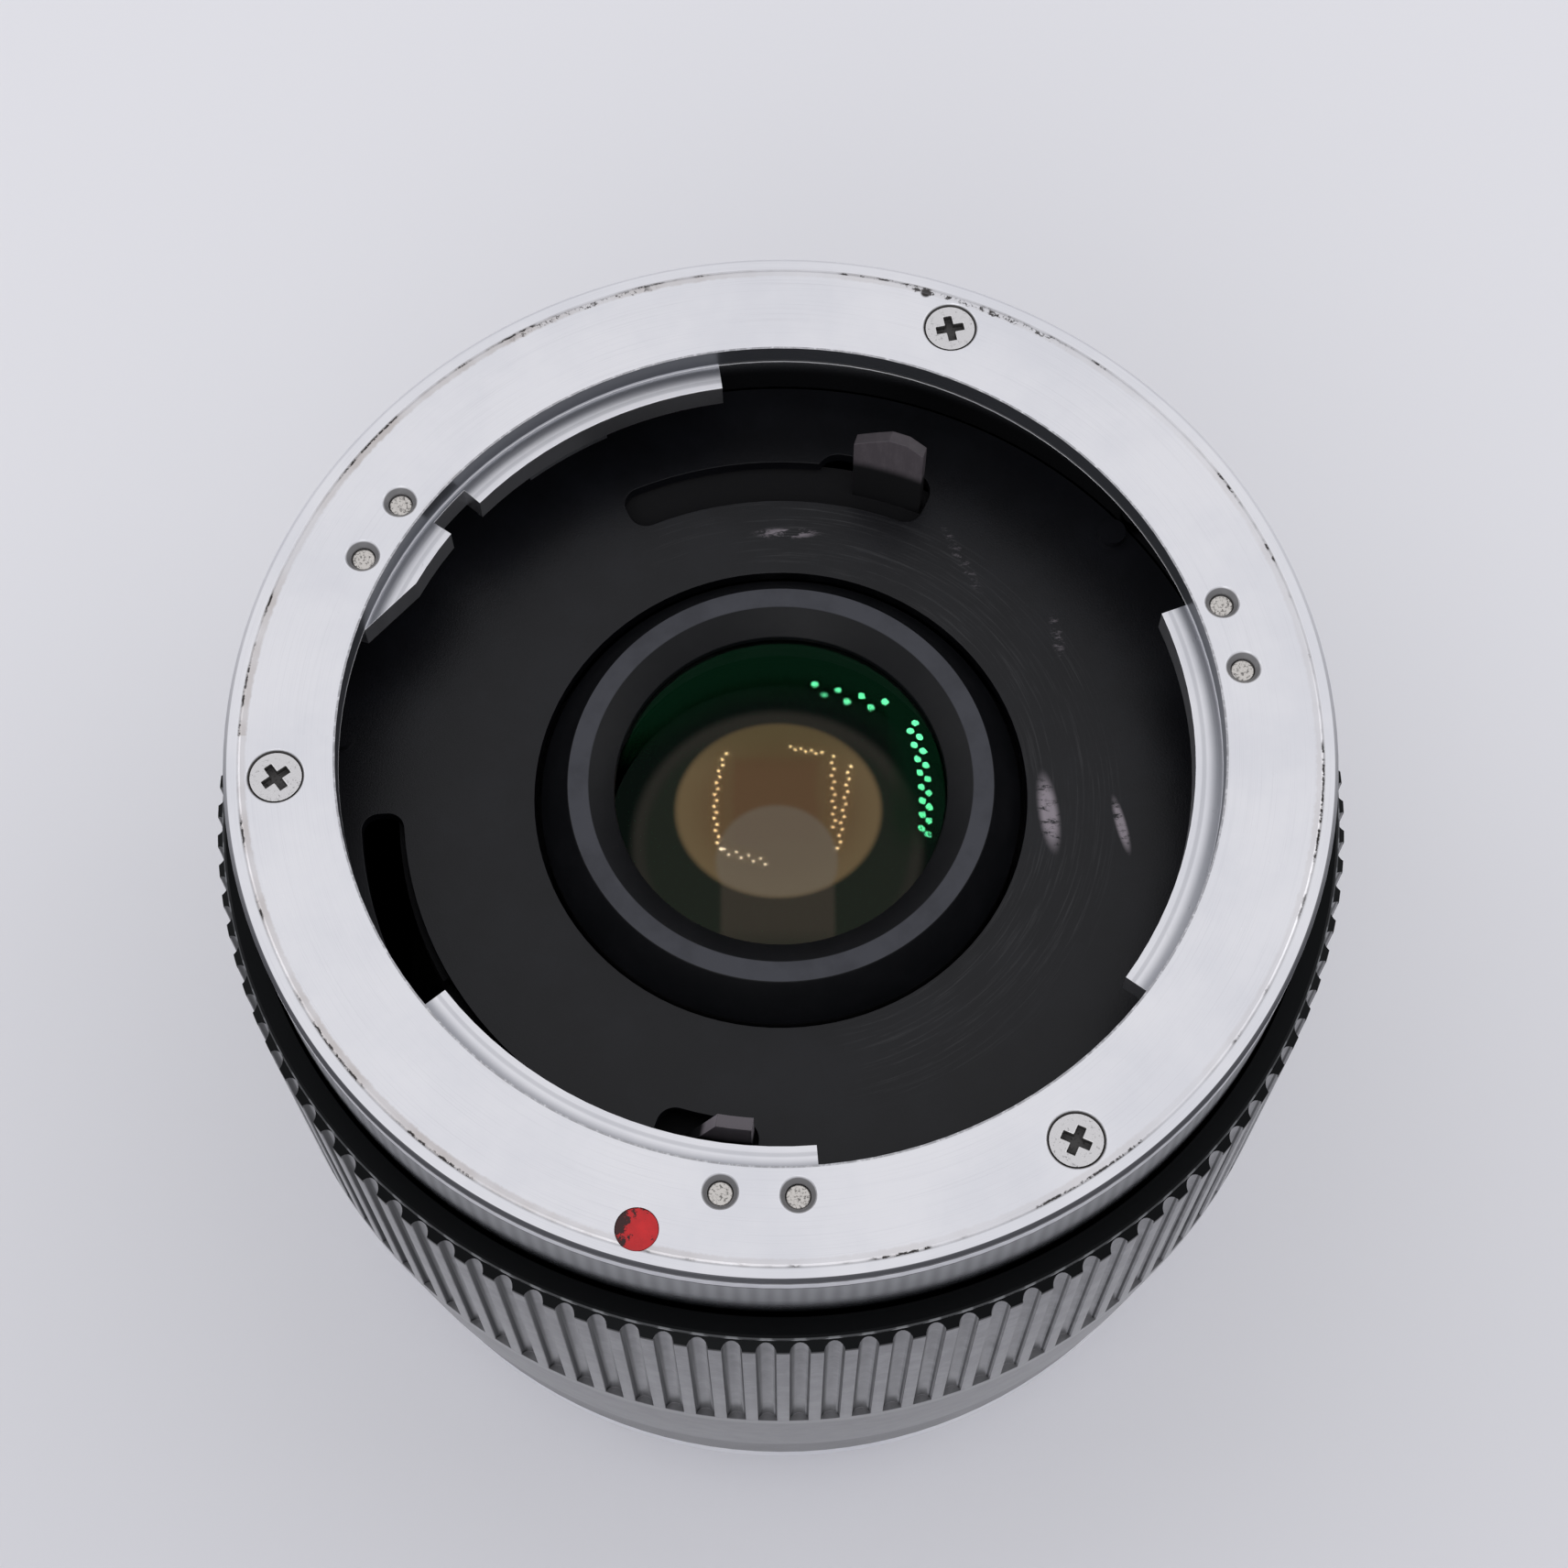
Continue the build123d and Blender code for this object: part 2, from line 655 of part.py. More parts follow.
# Rear barrel: the outer shell above the rear bayonet, the bearing land of the focus ring
# and the long sleeve that the front barrel slides on
lock_z = shell_z + snug
with BuildPart() as rear_barrel:
    with BuildSketch(Plane.XZ):
        with BuildLine():
            Polyline(
                (base_bore_r, shell_z),
                (shell_foot_r, shell_z),
                (shell_top_r, shoulder_z),
                (land_r, shoulder_z),
                (land_r, retainer_z),
                (land_r - retainer_bite, retainer_z),
                (land_r - retainer_bite, retainer_z + retainer_thickness),
                (land_r, retainer_z + retainer_thickness),
                (land_r, land_z),
                (sleeve_r, land_z),
                (sleeve_r, sleeve_top_z),
                (sleeve_bore_r, sleeve_top_z),
                (sleeve_bore_r, plate_foot_z),
                (base_bore_r, plate_foot_z),
                close=True,
            )
        make_face()
    revolve(axis=Axis.Z)
    # Lens lock: a shaft for the pin's head, a channel for the tongue and a pocket for the cap
    with BuildSketch(Plane(origin=around(lock_circle_r, lock_angle, shell_z))):
        Circle(lock_head_r + slip)
    extrude(amount=plate_seat_height, mode=Mode.SUBTRACT)
    with BuildSketch(facing(lock_angle).offset(base_bore_r - snug)):
        with Locations((0, shell_z + (shaft_height + air_gap) / 2)):
            Rectangle(tongue_width + 2 * slip, shaft_height + air_gap)
    extrude(amount=shell_top_r - base_bore_r, mode=Mode.SUBTRACT)
    with BuildSketch(facing(lock_angle).offset(shaft_r - lock_travel - air_gap)):
        with Locations((0, shell_z + cap_rise + cap_height / 2)):
            Rectangle(cap_width + 2 * slip, cap_height + 2 * slip)
    extrude(amount=shell_top_r, mode=Mode.SUBTRACT)
    # Holes for the screws of the rear bayonet, the lens plate and the guide key
    for angle in screw_angles:
        with Locations(Location(around(rear_screw_r, angle, shell_z), (180, 0, 0))):
            Hole(screw_shank_r + seat_gap, screw_length - rear_plate)
    for angle in plate_screw_angles:
        with Locations(Location(around(plate_screw_circle_r, angle, plate_foot_z))):
            Hole(screw_shank_r + seat_gap, plate_screw_length - plate_thickness)
    with BuildSketch(facing(0).offset(sleeve_bore_r - snug)):
        for share in key_screw_shares:
            with Locations((0, key_foot_z + share * key_length)):
                Circle(key_screw_r + seat_gap)
    extrude(amount=sleeve_wall + 2 * snug, mode=Mode.SUBTRACT)
save(rear_barrel, "rear_barrel")

# Snap ring that holds the focus ring on its land
with BuildPart() as focus_retainer:
    with BuildSketch(Plane.XY.offset(retainer_z + seat_gap)):
        retainer_outer_r = land_bore_r + retainer_bite
        retainer_inner_r = land_r - retainer_bite + seat_gap
        retainer_end = (full_turn - retainer_gap_angle) / 2
        add(sector(retainer_inner_r, retainer_outer_r, -retainer_end, retainer_end))
    extrude(amount=retainer_thickness - 2 * seat_gap)
save(focus_retainer, "focus_retainer")

# Guide key on the sleeve, and its two screws
with BuildPart() as guide_key:
    key_half = spread(key_width, lower_bore_r)
    with BuildSketch(Plane.XY.offset(key_foot_z)):
        add(sector(sleeve_r + seat_gap, sleeve_r + key_height, -key_half, key_half))
    extrude(amount=key_length)
    with BuildSketch(facing(0).offset(sleeve_r - snug)):
        for share in key_screw_shares:
            with Locations((0, key_foot_z + share * key_length)):
                Circle(key_screw_r + seat_gap)
    extrude(amount=key_height + 2 * snug, mode=Mode.SUBTRACT)
save(guide_key, "guide_key")

with BuildPart() as key_screws:
    for share in key_screw_shares:
        centre = (sleeve_bore_r - seat_gap, 0, key_foot_z + share * key_length)
        outward = Plane(origin=centre, z_dir=(1, 0, 0))
        with BuildSketch(outward):
            Circle(key_screw_r)
        extrude(amount=sleeve_wall + key_height - slip)
        with BuildSketch(outward):
            Circle(key_screw_head_r)
        extrude(amount=-key_screw_head)
save(key_screws, "key_screws")

# Rear bayonet: the chrome ring with three outward lugs that enters the camera
lug_top_z = spigot_depth - lug_gap
with BuildPart() as rear_bayonet:
    with BuildSketch(Plane.XZ):
        with BuildLine():
            ledge_r = spigot_bore_r - rear_ledge
            ledge_z = rear_baffle_foot + rear_baffle_thickness
            Polyline(
                (spigot_bore_r, 0),
                (spigot_r, 0),
                (spigot_r, spigot_depth),
                (flange_r - rim_chamfer, spigot_depth),
                (flange_r, spigot_depth + rim_chamfer),
                (flange_r, shell_z),
                (spigot_bore_r, shell_z),
                (spigot_bore_r, ledge_z + rear_ledge_height),
                (ledge_r, ledge_z + rear_ledge_height),
                (ledge_r, ledge_z),
                (spigot_bore_r, ledge_z),
                close=True,
            )
        make_face()
    revolve(axis=Axis.Z)
    with BuildSketch(Plane.XY.offset(lug_foot)):
        for start, end in lug_spans:
            add(sector(spigot_r - snug, lug_r, start, end))
    extrude(amount=lug_top_z - lug_foot)
    for angle in screw_angles:
        with Locations(Location(around(rear_screw_r, angle, spigot_depth), (180, 0, 0))):
            CounterSinkHole(screw_shank_r + snug, screw_head_r, rear_plate + overrun)
    with Locations(Location(around(lock_circle_r, lock_angle, spigot_depth), (180, 0, 0))):
        Hole(lock_pin_r + snug, rear_plate)
save(rear_bayonet, "rear_bayonet")

# Countersunk screws of the rear bayonet
with BuildPart() as rear_mount_screws:
    for angle in screw_angles:
        foot = around(rear_screw_r, angle, spigot_depth + screw_length - overrun / 2)
        with BuildSketch(Plane(origin=foot)):
            Circle(screw_shank_r)
        extrude(amount=-(screw_length - overrun / 2 - screw_head_depth))
        head = around(rear_screw_r, angle, spigot_depth + screw_recess + seat_gap)
        with BuildSketch(Plane(origin=head)):
            Circle(screw_head_r - screw_recess - 2 * seat_gap)
        with BuildSketch(Plane(origin=head).offset(screw_head_depth - screw_recess)):
            Circle(screw_shank_r)
        loft()
        with BuildSketch(Plane(origin=head, x_dir=around(1, angle - 20))):
            Rectangle(cross_width, screw_head_r)
            Rectangle(screw_head_r, cross_width)
        extrude(amount=cross_depth, mode=Mode.SUBTRACT)
save(rear_mount_screws, "rear_mount_screws")

# Rear baffle, with notches for the two rear levers
with BuildPart() as rear_baffle:
    with BuildSketch(Plane.XY.offset(rear_baffle_foot)):
        Circle(spigot_bore_r - snug)
        Circle(tube_rear_r + snug, mode=Mode.SUBTRACT)
        rear_slots = (
            (aperture_rear_span[0], aperture_rear_span[1] + aperture_swing),
            (stop_rear_span[0] - stop_swing, stop_rear_span[1]),
        )
        for start, end in rear_slots:
            span = (start - rear_slot_play_angle, end + rear_slot_play_angle)
            add(sector(rear_slot_inner_r, spigot_bore_r, *span), mode=Mode.SUBTRACT)
    extrude(amount=rear_baffle_thickness - seat_gap)
save(rear_baffle, "rear_baffle")

# Lens plate: it carries the optical unit on the rear barrel and lets the bars pass
with BuildPart() as lens_plate:
    with BuildSketch(Plane.XY.offset(plate_foot_z)):
        Circle(sleeve_bore_r - snug)
        Circle(tube_r + snug, mode=Mode.SUBTRACT)
        bar_paths = (
            (aperture_bar_angle, aperture_bar_angle + aperture_swing),
            (stop_bar_angle - stop_swing, stop_bar_angle),
        )
        for start, end in bar_paths:
            reach = bar_spread + plate_slot_play_angle
            add(sector(*plate_slot_r, start - reach, end + reach), mode=Mode.SUBTRACT)
        for angle in plate_screw_angles:
            with Locations(around(plate_screw_circle_r, angle)[:2]):
                Circle(screw_shank_r + seat_gap, mode=Mode.SUBTRACT)
    extrude(amount=plate_thickness)
save(lens_plate, "lens_plate")

with BuildPart() as plate_screws:
    for angle in plate_screw_angles:
        with BuildSketch(Plane(origin=around(plate_screw_circle_r, angle, plate_z))):
            Circle(screw_shank_r)
        extrude(amount=-plate_screw_length)
        with BuildSketch(Plane(origin=around(plate_screw_circle_r, angle, plate_z))):
            Circle(plate_screw_head_r)
        extrude(amount=small_head)
save(plate_screws, "plate_screws")

# Lens tube: it stands in the plate on a flange and is held by a nut from below
tube_top_z = front_z - cell_foot_depth
rear_ring_z = tube_foot + rear_ring_thickness
with BuildPart() as lens_tube:
    with BuildSketch(Plane.XZ):
        with BuildLine():
            skirt_z = tube_top_z - cell_skirt_length - snug
            Polyline(
                (lens_bore_r, tube_foot),
                (tube_rear_r, tube_foot),
                (tube_rear_r, tube_foot + tube_rear_length),
                (tube_r, tube_foot + tube_rear_length),
                (tube_r, plate_z),
                (tube_flange_r, plate_z),
                (tube_flange_r, plate_z + tube_flange),
                (tube_r, plate_z + tube_flange),
                (tube_r, tube_top_z - tube_front_length),
                (tube_front_r, tube_top_z - tube_front_length),
                (tube_front_r, tube_top_z),
                (cell_skirt_r + snug, tube_top_z),
                (cell_skirt_r + snug, skirt_z),
                (lens_bore_r, skirt_z),
                close=True,
            )
        make_face()
    revolve(axis=Axis.Z)
save(lens_tube, "lens_tube")

with BuildPart() as lens_tube_nut:
    with BuildSketch(Plane.XY.offset(plate_foot_z)):
        Circle(tube_nut_r)
        Circle(tube_r + snug, mode=Mode.SUBTRACT)
    extrude(amount=-tube_nut)
save(lens_tube_nut, "lens_tube_nut")

# Front lens cell: the black cone, the flat ring and the inner slope round the front glass
cell_z = front_z - cell_top_depth
glass_z = front_z - glass_rim_depth
with BuildPart() as front_lens_cell:
    with BuildSketch(Plane.XZ):
        with BuildLine():
            Polyline(
                (cell_face_r[0], cell_z),
                (cell_face_r[1], cell_z),
                (tube_front_r, tube_top_z + seat_gap),
                (cell_skirt_r, tube_top_z + seat_gap),
                (cell_skirt_r, tube_top_z - cell_skirt_length),
                (lens_bore_r, tube_top_z - cell_skirt_length),
                (lens_bore_r, glass_z + glass_seat_gap),
                (cell_glass_r, glass_z + glass_seat_gap),
                (cell_glass_r, front_z - cell_glass_depth),
                close=True,
            )
        make_face()
    revolve(axis=Axis.Z)
save(front_lens_cell, "front_lens_cell")

# Rear retaining ring, screwed into the tube under the last glass
with BuildPart() as rear_lens_ring:
    with BuildSketch(Plane.XY.offset(tube_foot)):
        Circle(lens_bore_r - snug)
        Circle(rear_ring_r, mode=Mode.SUBTRACT)
    extrude(amount=rear_ring_thickness)
save(rear_lens_ring, "rear_lens_ring")


def bulge_at(radius, rim, bulge):
    """Height of a lens face above its rim plane, at a radius inside the rim."""
    curve = (rim**2 + bulge**2) / (2 * abs(bulge))
    height = sqrt(curve**2 - radius**2) - (curve - abs(bulge))
    return height if bulge > 0 else -height


# Glass elements, each with two spherical faces and a ground rim
lens_r = lens_bore_r - snug
stack_foot_z = rear_ring_z + spacer_seat_gap
stack_length = glass_z - stack_foot_z
cement_total = cement * lens_space_shares.count(0)
space_total = stack_length * (1 - sum(lens_edge_shares)) - cement_total
lens_rims = []
rim_top = glass_z
for number, edge_share in enumerate(lens_edge_shares):
    rim_foot = rim_top - edge_share * stack_length
    front_bulge = lens_front_bulge_shares[number] * lens_r
    rear_bulge = lens_rear_bulge_shares[number] * lens_r
    with BuildPart() as lens:
        with BuildSketch(Plane.XZ):
            with BuildLine():
                crown = (0, rim_top + front_bulge)
                base = (0, rim_foot - rear_bulge)
                middle_top = rim_top + bulge_at(lens_r / 2, lens_r, front_bulge)
                middle_foot = rim_foot - bulge_at(lens_r / 2, lens_r, rear_bulge)
                ThreePointArc(crown, (lens_r / 2, middle_top), (lens_r, rim_top))
                Line((lens_r, rim_top), (lens_r, rim_foot))
                ThreePointArc((lens_r, rim_foot), (lens_r / 2, middle_foot), base)
                Line(base, crown)
            make_face()
        revolve(axis=Axis.Z)
    save(lens, f"lens_{number + 1}")
    lens_rims.append((rim_foot, rim_top))
    if number < len(lens_space_shares):
        rim_top = rim_foot - (lens_space_shares[number] * space_total or cement)

# Spacers between the rims of the elements that aren't cemented together
spacer_count = 0
for number, space_share in enumerate(lens_space_shares):
    if space_share:
        spacer_count += 1
        spacer_top = lens_rims[number][0] - spacer_seat_gap
        spacer_foot = lens_rims[number + 1][1] + spacer_seat_gap
        with BuildPart() as spacer:
            with BuildSketch(Plane.XY.offset(spacer_foot)):
                Circle(lens_r)
                Circle(lens_r - spacer_wall, mode=Mode.SUBTRACT)
            extrude(amount=spacer_top - spacer_foot)
        save(spacer, f"lens_spacer_{spacer_count}")

# Lens lock: a pin that drops into the camera's notch, and a button whose forked wedge
# lifts the pin's head
head_foot_z = shell_z + lock_head_rise
with BuildPart() as lock_pin:
    with BuildSketch(Plane(origin=around(lock_circle_r, lock_angle, spigot_depth - lock_reach))):
        Circle(lock_pin_r)
    extrude(amount=head_foot_z - spigot_depth + lock_reach)
    with BuildSketch(Plane(origin=around(lock_circle_r, lock_angle, head_foot_z))):
        Circle(lock_head_r)
    extrude(amount=lock_head)
save(lock_pin, "lock_pin")

ramp_r = lock_circle_r + lock_head_r + slip
fork_end_r = lock_circle_r + lock_pin_r + lock_travel + air_gap
with BuildPart() as release_button:
    side = Plane(origin=(0, 0, 0), x_dir=around(1, lock_angle), z_dir=around(1, lock_angle - 90))
    ramp_rise = shaft_height - tongue_thickness
    with BuildSketch(side):
        with BuildLine():
            Polyline(
                (tongue_tip_r, lock_z),
                (shaft_r + seat_gap, lock_z),
                (shaft_r + seat_gap, lock_z + shaft_height),
                (ramp_r + ramp_rise, lock_z + shaft_height),
                (ramp_r, lock_z + tongue_thickness),
                (tongue_tip_r, lock_z + tongue_thickness),
                close=True,
            )
        make_face()
    extrude(amount=tongue_width / 2, both=True)
    with BuildSketch(facing(lock_angle).offset(shaft_r)):
        with Locations((0, shell_z + cap_rise + cap_height / 2)):
            RectangleRounded(cap_width, cap_height, cap_fillet)
    extrude(amount=cap_face_r - shaft_r)
    with BuildSketch(facing(lock_angle).offset(tongue_tip_r - snug)):
        with Locations((0, lock_z + shaft_height)):
            Rectangle(tongue_fork, 2 * (shaft_height + snug))
    extrude(amount=fork_end_r - tongue_tip_r, mode=Mode.SUBTRACT)
save(release_button, "release_button")

# Spring between the pin's head and the lens plate, as a plain sleeve
with BuildPart() as lock_spring:
    spring_foot_z = head_foot_z + lock_head + seat_gap
    with BuildSketch(Plane(origin=around(lock_circle_r, lock_angle, spring_foot_z))):
        Circle(lock_spring_r)
        Circle(lock_spring_bore_r, mode=Mode.SUBTRACT)
    extrude(amount=plate_foot_z - seat_gap - spring_foot_z)
save(lock_spring, "lock_spring")
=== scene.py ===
# %% [markdown]
# # A focusing teleconverter, dressed on its CAD frame
# A teleconverter sits between a camera and a lens. This one has a chrome bayonet on the lens
# side, a glossy black neck, a fluted focus ring and a stack of coated glass.
# The packed CAD model is loaded first and stays where it is: every piece made here either
# finishes one of its nodes or stands for one.

import json
import math

import bmesh
import bpy
from mathutils import Matrix, Vector


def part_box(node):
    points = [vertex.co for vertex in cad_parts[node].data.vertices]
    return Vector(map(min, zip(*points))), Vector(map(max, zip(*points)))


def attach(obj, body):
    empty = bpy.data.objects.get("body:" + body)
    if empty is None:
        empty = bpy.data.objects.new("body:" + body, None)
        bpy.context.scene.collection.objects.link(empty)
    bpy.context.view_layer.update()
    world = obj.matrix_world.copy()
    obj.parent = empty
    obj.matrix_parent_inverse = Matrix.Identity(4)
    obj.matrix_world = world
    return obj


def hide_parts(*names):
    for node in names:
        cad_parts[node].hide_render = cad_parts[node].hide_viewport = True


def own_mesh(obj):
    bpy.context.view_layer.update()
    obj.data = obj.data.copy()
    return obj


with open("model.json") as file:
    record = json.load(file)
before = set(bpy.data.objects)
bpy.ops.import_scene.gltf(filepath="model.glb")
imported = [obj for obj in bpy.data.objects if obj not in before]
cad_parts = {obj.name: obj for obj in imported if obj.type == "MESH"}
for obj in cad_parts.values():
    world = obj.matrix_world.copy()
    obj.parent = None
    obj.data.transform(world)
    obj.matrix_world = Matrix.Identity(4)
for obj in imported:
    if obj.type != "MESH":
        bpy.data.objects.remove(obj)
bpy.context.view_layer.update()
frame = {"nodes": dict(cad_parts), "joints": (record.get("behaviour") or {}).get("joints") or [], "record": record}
MM = 0.001

# %% [markdown]
# ## Sizes that everything else leans on
# The bayonet's face, the barrel and the ring are all measured from the front face, as on a
# drawing of the real part. Reading the face from the frame keeps the dressed pieces on the CAD.
# Screws, rivets and lines have their places on it too, in millimetres and degrees from +X, so
# that a finish can put its wear where the real part wears.

# %% Measured sizes
front_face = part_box("front_bayonet")[1].z
flange_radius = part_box("front_bayonet")[1].x
ring_low, ring_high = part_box("focus_ring")
face_z = front_face / MM
print("face", round(face_z, 2), "flange", round(flange_radius / MM, 2))
print("ring from", round(ring_low.z / MM, 2), "to", round(ring_high.z / MM, 2))

SCREW_CIRCLE, SCREW_TURNS = 26.9, (68.9, -175.0, -56.5)
RIVET_CIRCLE, RIVET_TURNS = 25.23, (8.7, 17.8, 146.1, 154.8, -97.1, -88.2)
INDEX_CIRCLE, INDEX_TURN = 27.92, -105.1
RIM, STEP_LINE, THROAT, TAB_EDGE = 29.5, 28.88, 23.9, 22.75
FLUTES, GRIP_RADIUS = 110, 31.4
bevel_foot, flute_foot, skirt_top = face_z - 8.4, face_z - 26.5, face_z - 27.3


def polar(radius, degrees, height):
    """A point given as on the drawing: radius and height in mm, angle from +X."""
    turn = math.radians(degrees)
    return Vector((radius * math.cos(turn), radius * math.sin(turn), height)) * MM


# %% [markdown]
# ## Writing shader sums as Python
# A finish is mostly a sum of masks. Wrapping a socket in a small class lets the sum be written
# as Python, and each operator adds its Math node. Anything else comes from one method.

# %% A socket that can be added and multiplied
class Wire:
    def __init__(self, tree, socket=None, node=None):
        self.tree, self.socket, self.node = tree, socket, node

    def make(self, kind, settings=None, inputs=None, take=0):
        node = self.tree.nodes.new(kind)
        for name, value in (settings or {}).items():
            setattr(node, name, value)
        for name, value in (inputs or {}).items():
            self.feed(node.inputs[name], value)
        return Wire(self.tree, node.outputs[take] if node.outputs else None, node)

    def feed(self, target, value):
        if isinstance(value, Wire):
            self.tree.links.new(value.socket, target)
        elif isinstance(value, (tuple, list)) and len(value) == 3 and target.type == "RGBA":
            target.default_value = (*value, 1)
        else:
            target.default_value = value

    def out(self, name):
        return Wire(self.tree, self.node.outputs[name], self.node)

    def sum(self, operation, *values, clamp=False):
        settings = {"operation": operation, "use_clamp": clamp}
        return self.make("ShaderNodeMath", settings, dict(enumerate(values)))

    def __add__(self, other):
        return self.sum("ADD", self, other)

    def __sub__(self, other):
        return self.sum("SUBTRACT", self, other)

    def __rsub__(self, other):
        return self.sum("SUBTRACT", other, self)

    def __mul__(self, other):
        return self.sum("MULTIPLY", self, other)

    def __truediv__(self, other):
        return self.sum("DIVIDE", self, other)

    def __abs__(self):
        return self.sum("ABSOLUTE", self)

    __radd__, __rmul__ = __add__, __mul__

    def clamped(self):
        return self.sum("ADD", self, 0.0, clamp=True)

    def hypot(self, other):
        """The length of a line whose two legs are this value and the other."""
        return self.sum("POWER", self * self + other * other, 0.5)

    def step(self, low, high):
        """0 below low, 1 above high, smooth between; low may be the larger one."""
        inputs = {"Value": self, "From Min": low, "From Max": high}
        return self.make("ShaderNodeMapRange", {"interpolation_type": "SMOOTHSTEP"}, inputs)

    def band(self, middle, half, soft):
        """1 within half of middle, fading to 0 over soft."""
        return abs(self - middle).step(half + soft, half)

    def blend(self, low, high):
        """A colour between two colours, with this value as the share of the second."""
        inputs = {0: self, 6: low, 7: high}
        return self.make("ShaderNodeMix", {"data_type": "RGBA"}, inputs, take=2)

    def noise(self, scale, detail, roughness, seed):
        """Noise read at this vector; the fourth dimension serves as the seed."""
        inputs = {"Vector": self, "Scale": scale, "Detail": detail, "Roughness": roughness,
                  "W": seed}
        return self.make("ShaderNodeTexNoise", {"noise_dimensions": "4D"}, inputs)


def painted(tint, *layers):
    """Lay colours over a first one, each as far as its mask says."""
    for mask, colour in layers:
        tint = mask.blend(tint, colour)
    return tint


print("shader methods:", ", ".join(name for name in vars(Wire) if not name.startswith("_")))

# %% [markdown]
# ## A finish
# Every finish reads Object coordinates, here in millimetres, so a pattern stays put when the
# piece moves. Because the part is turned on a lathe, most marks follow its circles: the radius
# and the angle round the axis are as useful as x, y and z.

# %% The start of every finish
class Finish:
    def __init__(self, name):
        self.material = bpy.data.materials.new(name)
        self.material.use_nodes = True
        self.tree = self.material.node_tree
        self.tree.nodes.clear()
        self.start = Wire(self.tree)
        place = self.start.make("ShaderNodeTexCoord", take="Object")
        grow = {"operation": "SCALE"}
        self.place = place.make("ShaderNodeVectorMath", grow, {0: place, "Scale": 1 / MM})
        apart = self.start.make("ShaderNodeSeparateXYZ", None, {0: self.place})
        self.x, self.y, self.z = apart.out("X"), apart.out("Y"), apart.out("Z")
        self.radius = self.x.hypot(self.y)
        self.angle = self.start.sum("ARCTAN2", self.y, self.x) * (180 / math.pi)
        facing = self.start.make("ShaderNodeNewGeometry", take="True Normal")
        self.up = self.start.make("ShaderNodeSeparateXYZ", None, {0: facing}).out("Z")

    def along(self, x, y, z):
        """The vector at which a stretched noise is read."""
        return self.start.make("ShaderNodeCombineXYZ", None, {0: x, 1: y, 2: z})

    def spot(self, x, y, size, soft):
        """1 inside a round spot on the drawing, in millimetres."""
        return (self.x - x).hypot(self.y - y).step(size + soft, size)

    def streak(self, x, y, half_width, half_length, degrees):
        """1 at the middle of a long soft spot, turned by some degrees from upright."""
        turn = math.radians(degrees)
        across = ((self.x - x) * math.cos(turn) + (self.y - y) * math.sin(turn)) / half_width
        upward = ((self.y - y) * math.cos(turn) - (self.x - x) * math.sin(turn)) / half_length
        return across.hypot(upward).step(1.25, 0.45)

    def arc(self, degrees, half, soft):
        """1 within some degrees of an angle round the axis, for angles away from 180."""
        return self.angle.band(degrees, half, soft)

    def bump(self, height, strength, distance):
        inputs = {"Height": height, "Strength": strength, "Distance": distance * MM}
        return self.start.make("ShaderNodeBump", None, inputs)

    def close(self, **sockets):
        inputs = {name.replace("_", " "): value for name, value in sockets.items()}
        shader = self.start.make("ShaderNodeBsdfPrincipled", None, inputs)
        self.start.make("ShaderNodeOutputMaterial", None, {"Surface": shader})
        return self.material


print("a finish has", len(vars(Finish)), "names")

# %% [markdown]
# ## Chrome with years of lens changes on it
# The mount is brass or steel, turned, then chromed. The lathe leaves fine rings, the lenses that
# were turned in it leave arcs of light scratches, and grime and chipped plating collect in the
# step line near the rim. Rings come from noise that is read along the radius alone.
# Shade in the throat, the countersinks and round the rim, and a highlight in the throat, are painted.

# %% Wear of the mount, with painted shade and a painted highlight
def step_line_wear(f, patchy, ragged):
    """Chips and grime along the step line, thicker where the noise round the axis says so."""
    top = f.up.step(0.5, 0.8)
    line = (f.radius + (ragged - 0.5) * 0.35).band(STEP_LINE, 0.03, 0.06)
    wide = (f.radius + (ragged - 0.5) * 1.1).band(STEP_LINE - 0.13, 0.08, 0.10)
    fine_line = f.radius.band(STEP_LINE + 0.04, 0.03, 0.06)
    fine_line = fine_line * (0.35 + patchy.step(0.40, 0.60) * 0.5)
    chips = line * patchy.step(0.49, 0.55) * ragged.step(0.46, 0.52)
    for degrees, half, soft in ((113, 6, 4), (66, 8, 3)):
        chips = chips + wide * f.arc(degrees, half, soft) * ragged.step(0.50, 0.56)
    chips = chips + f.spot(8.35, 27.35, 0.2, 0.16) * ragged.step(0.34, 0.42)
    chips = ((chips + fine_line * 0.45) * top).clamped()
    grime = (f.radius + (ragged - 0.5) * 0.4).band(STEP_LINE - 0.18, 0.12, 0.16)
    grime = grime * (0.35 + patchy.step(0.40, 0.62) * 0.65)
    edge = (f.radius + (ragged - 0.5) * 0.3).band(THROAT - 0.05, 0.02, 0.16)
    left = f.x.step(4.0, -10.0) * 0.6 + 0.4
    rust = (grime * 0.55 + edge * patchy.step(0.52, 0.66) * 0.25) * left * top
    return chips, rust.clamped()


def seat_grease_and_shade(f):
    """Painted shade, with some old grease, in the countersinks of the screws
    and in the sunk rivets' holes.
    """
    grease_and_shade = 0.0
    for circle, turns, size, soft, share in ((SCREW_CIRCLE, SCREW_TURNS, 1.60, 0.02, 1.0),
                                             (RIVET_CIRCLE, RIVET_TURNS, 0.86, 0.10, 0.8)):
        for turn in turns:
            centre = polar(circle, turn, 0) / MM
            grease_and_shade = grease_and_shade + f.spot(centre.x, centre.y, size, soft) * share
    return (grease_and_shade * f.z.step(face_z - 0.02, face_z - 0.10)).clamped()


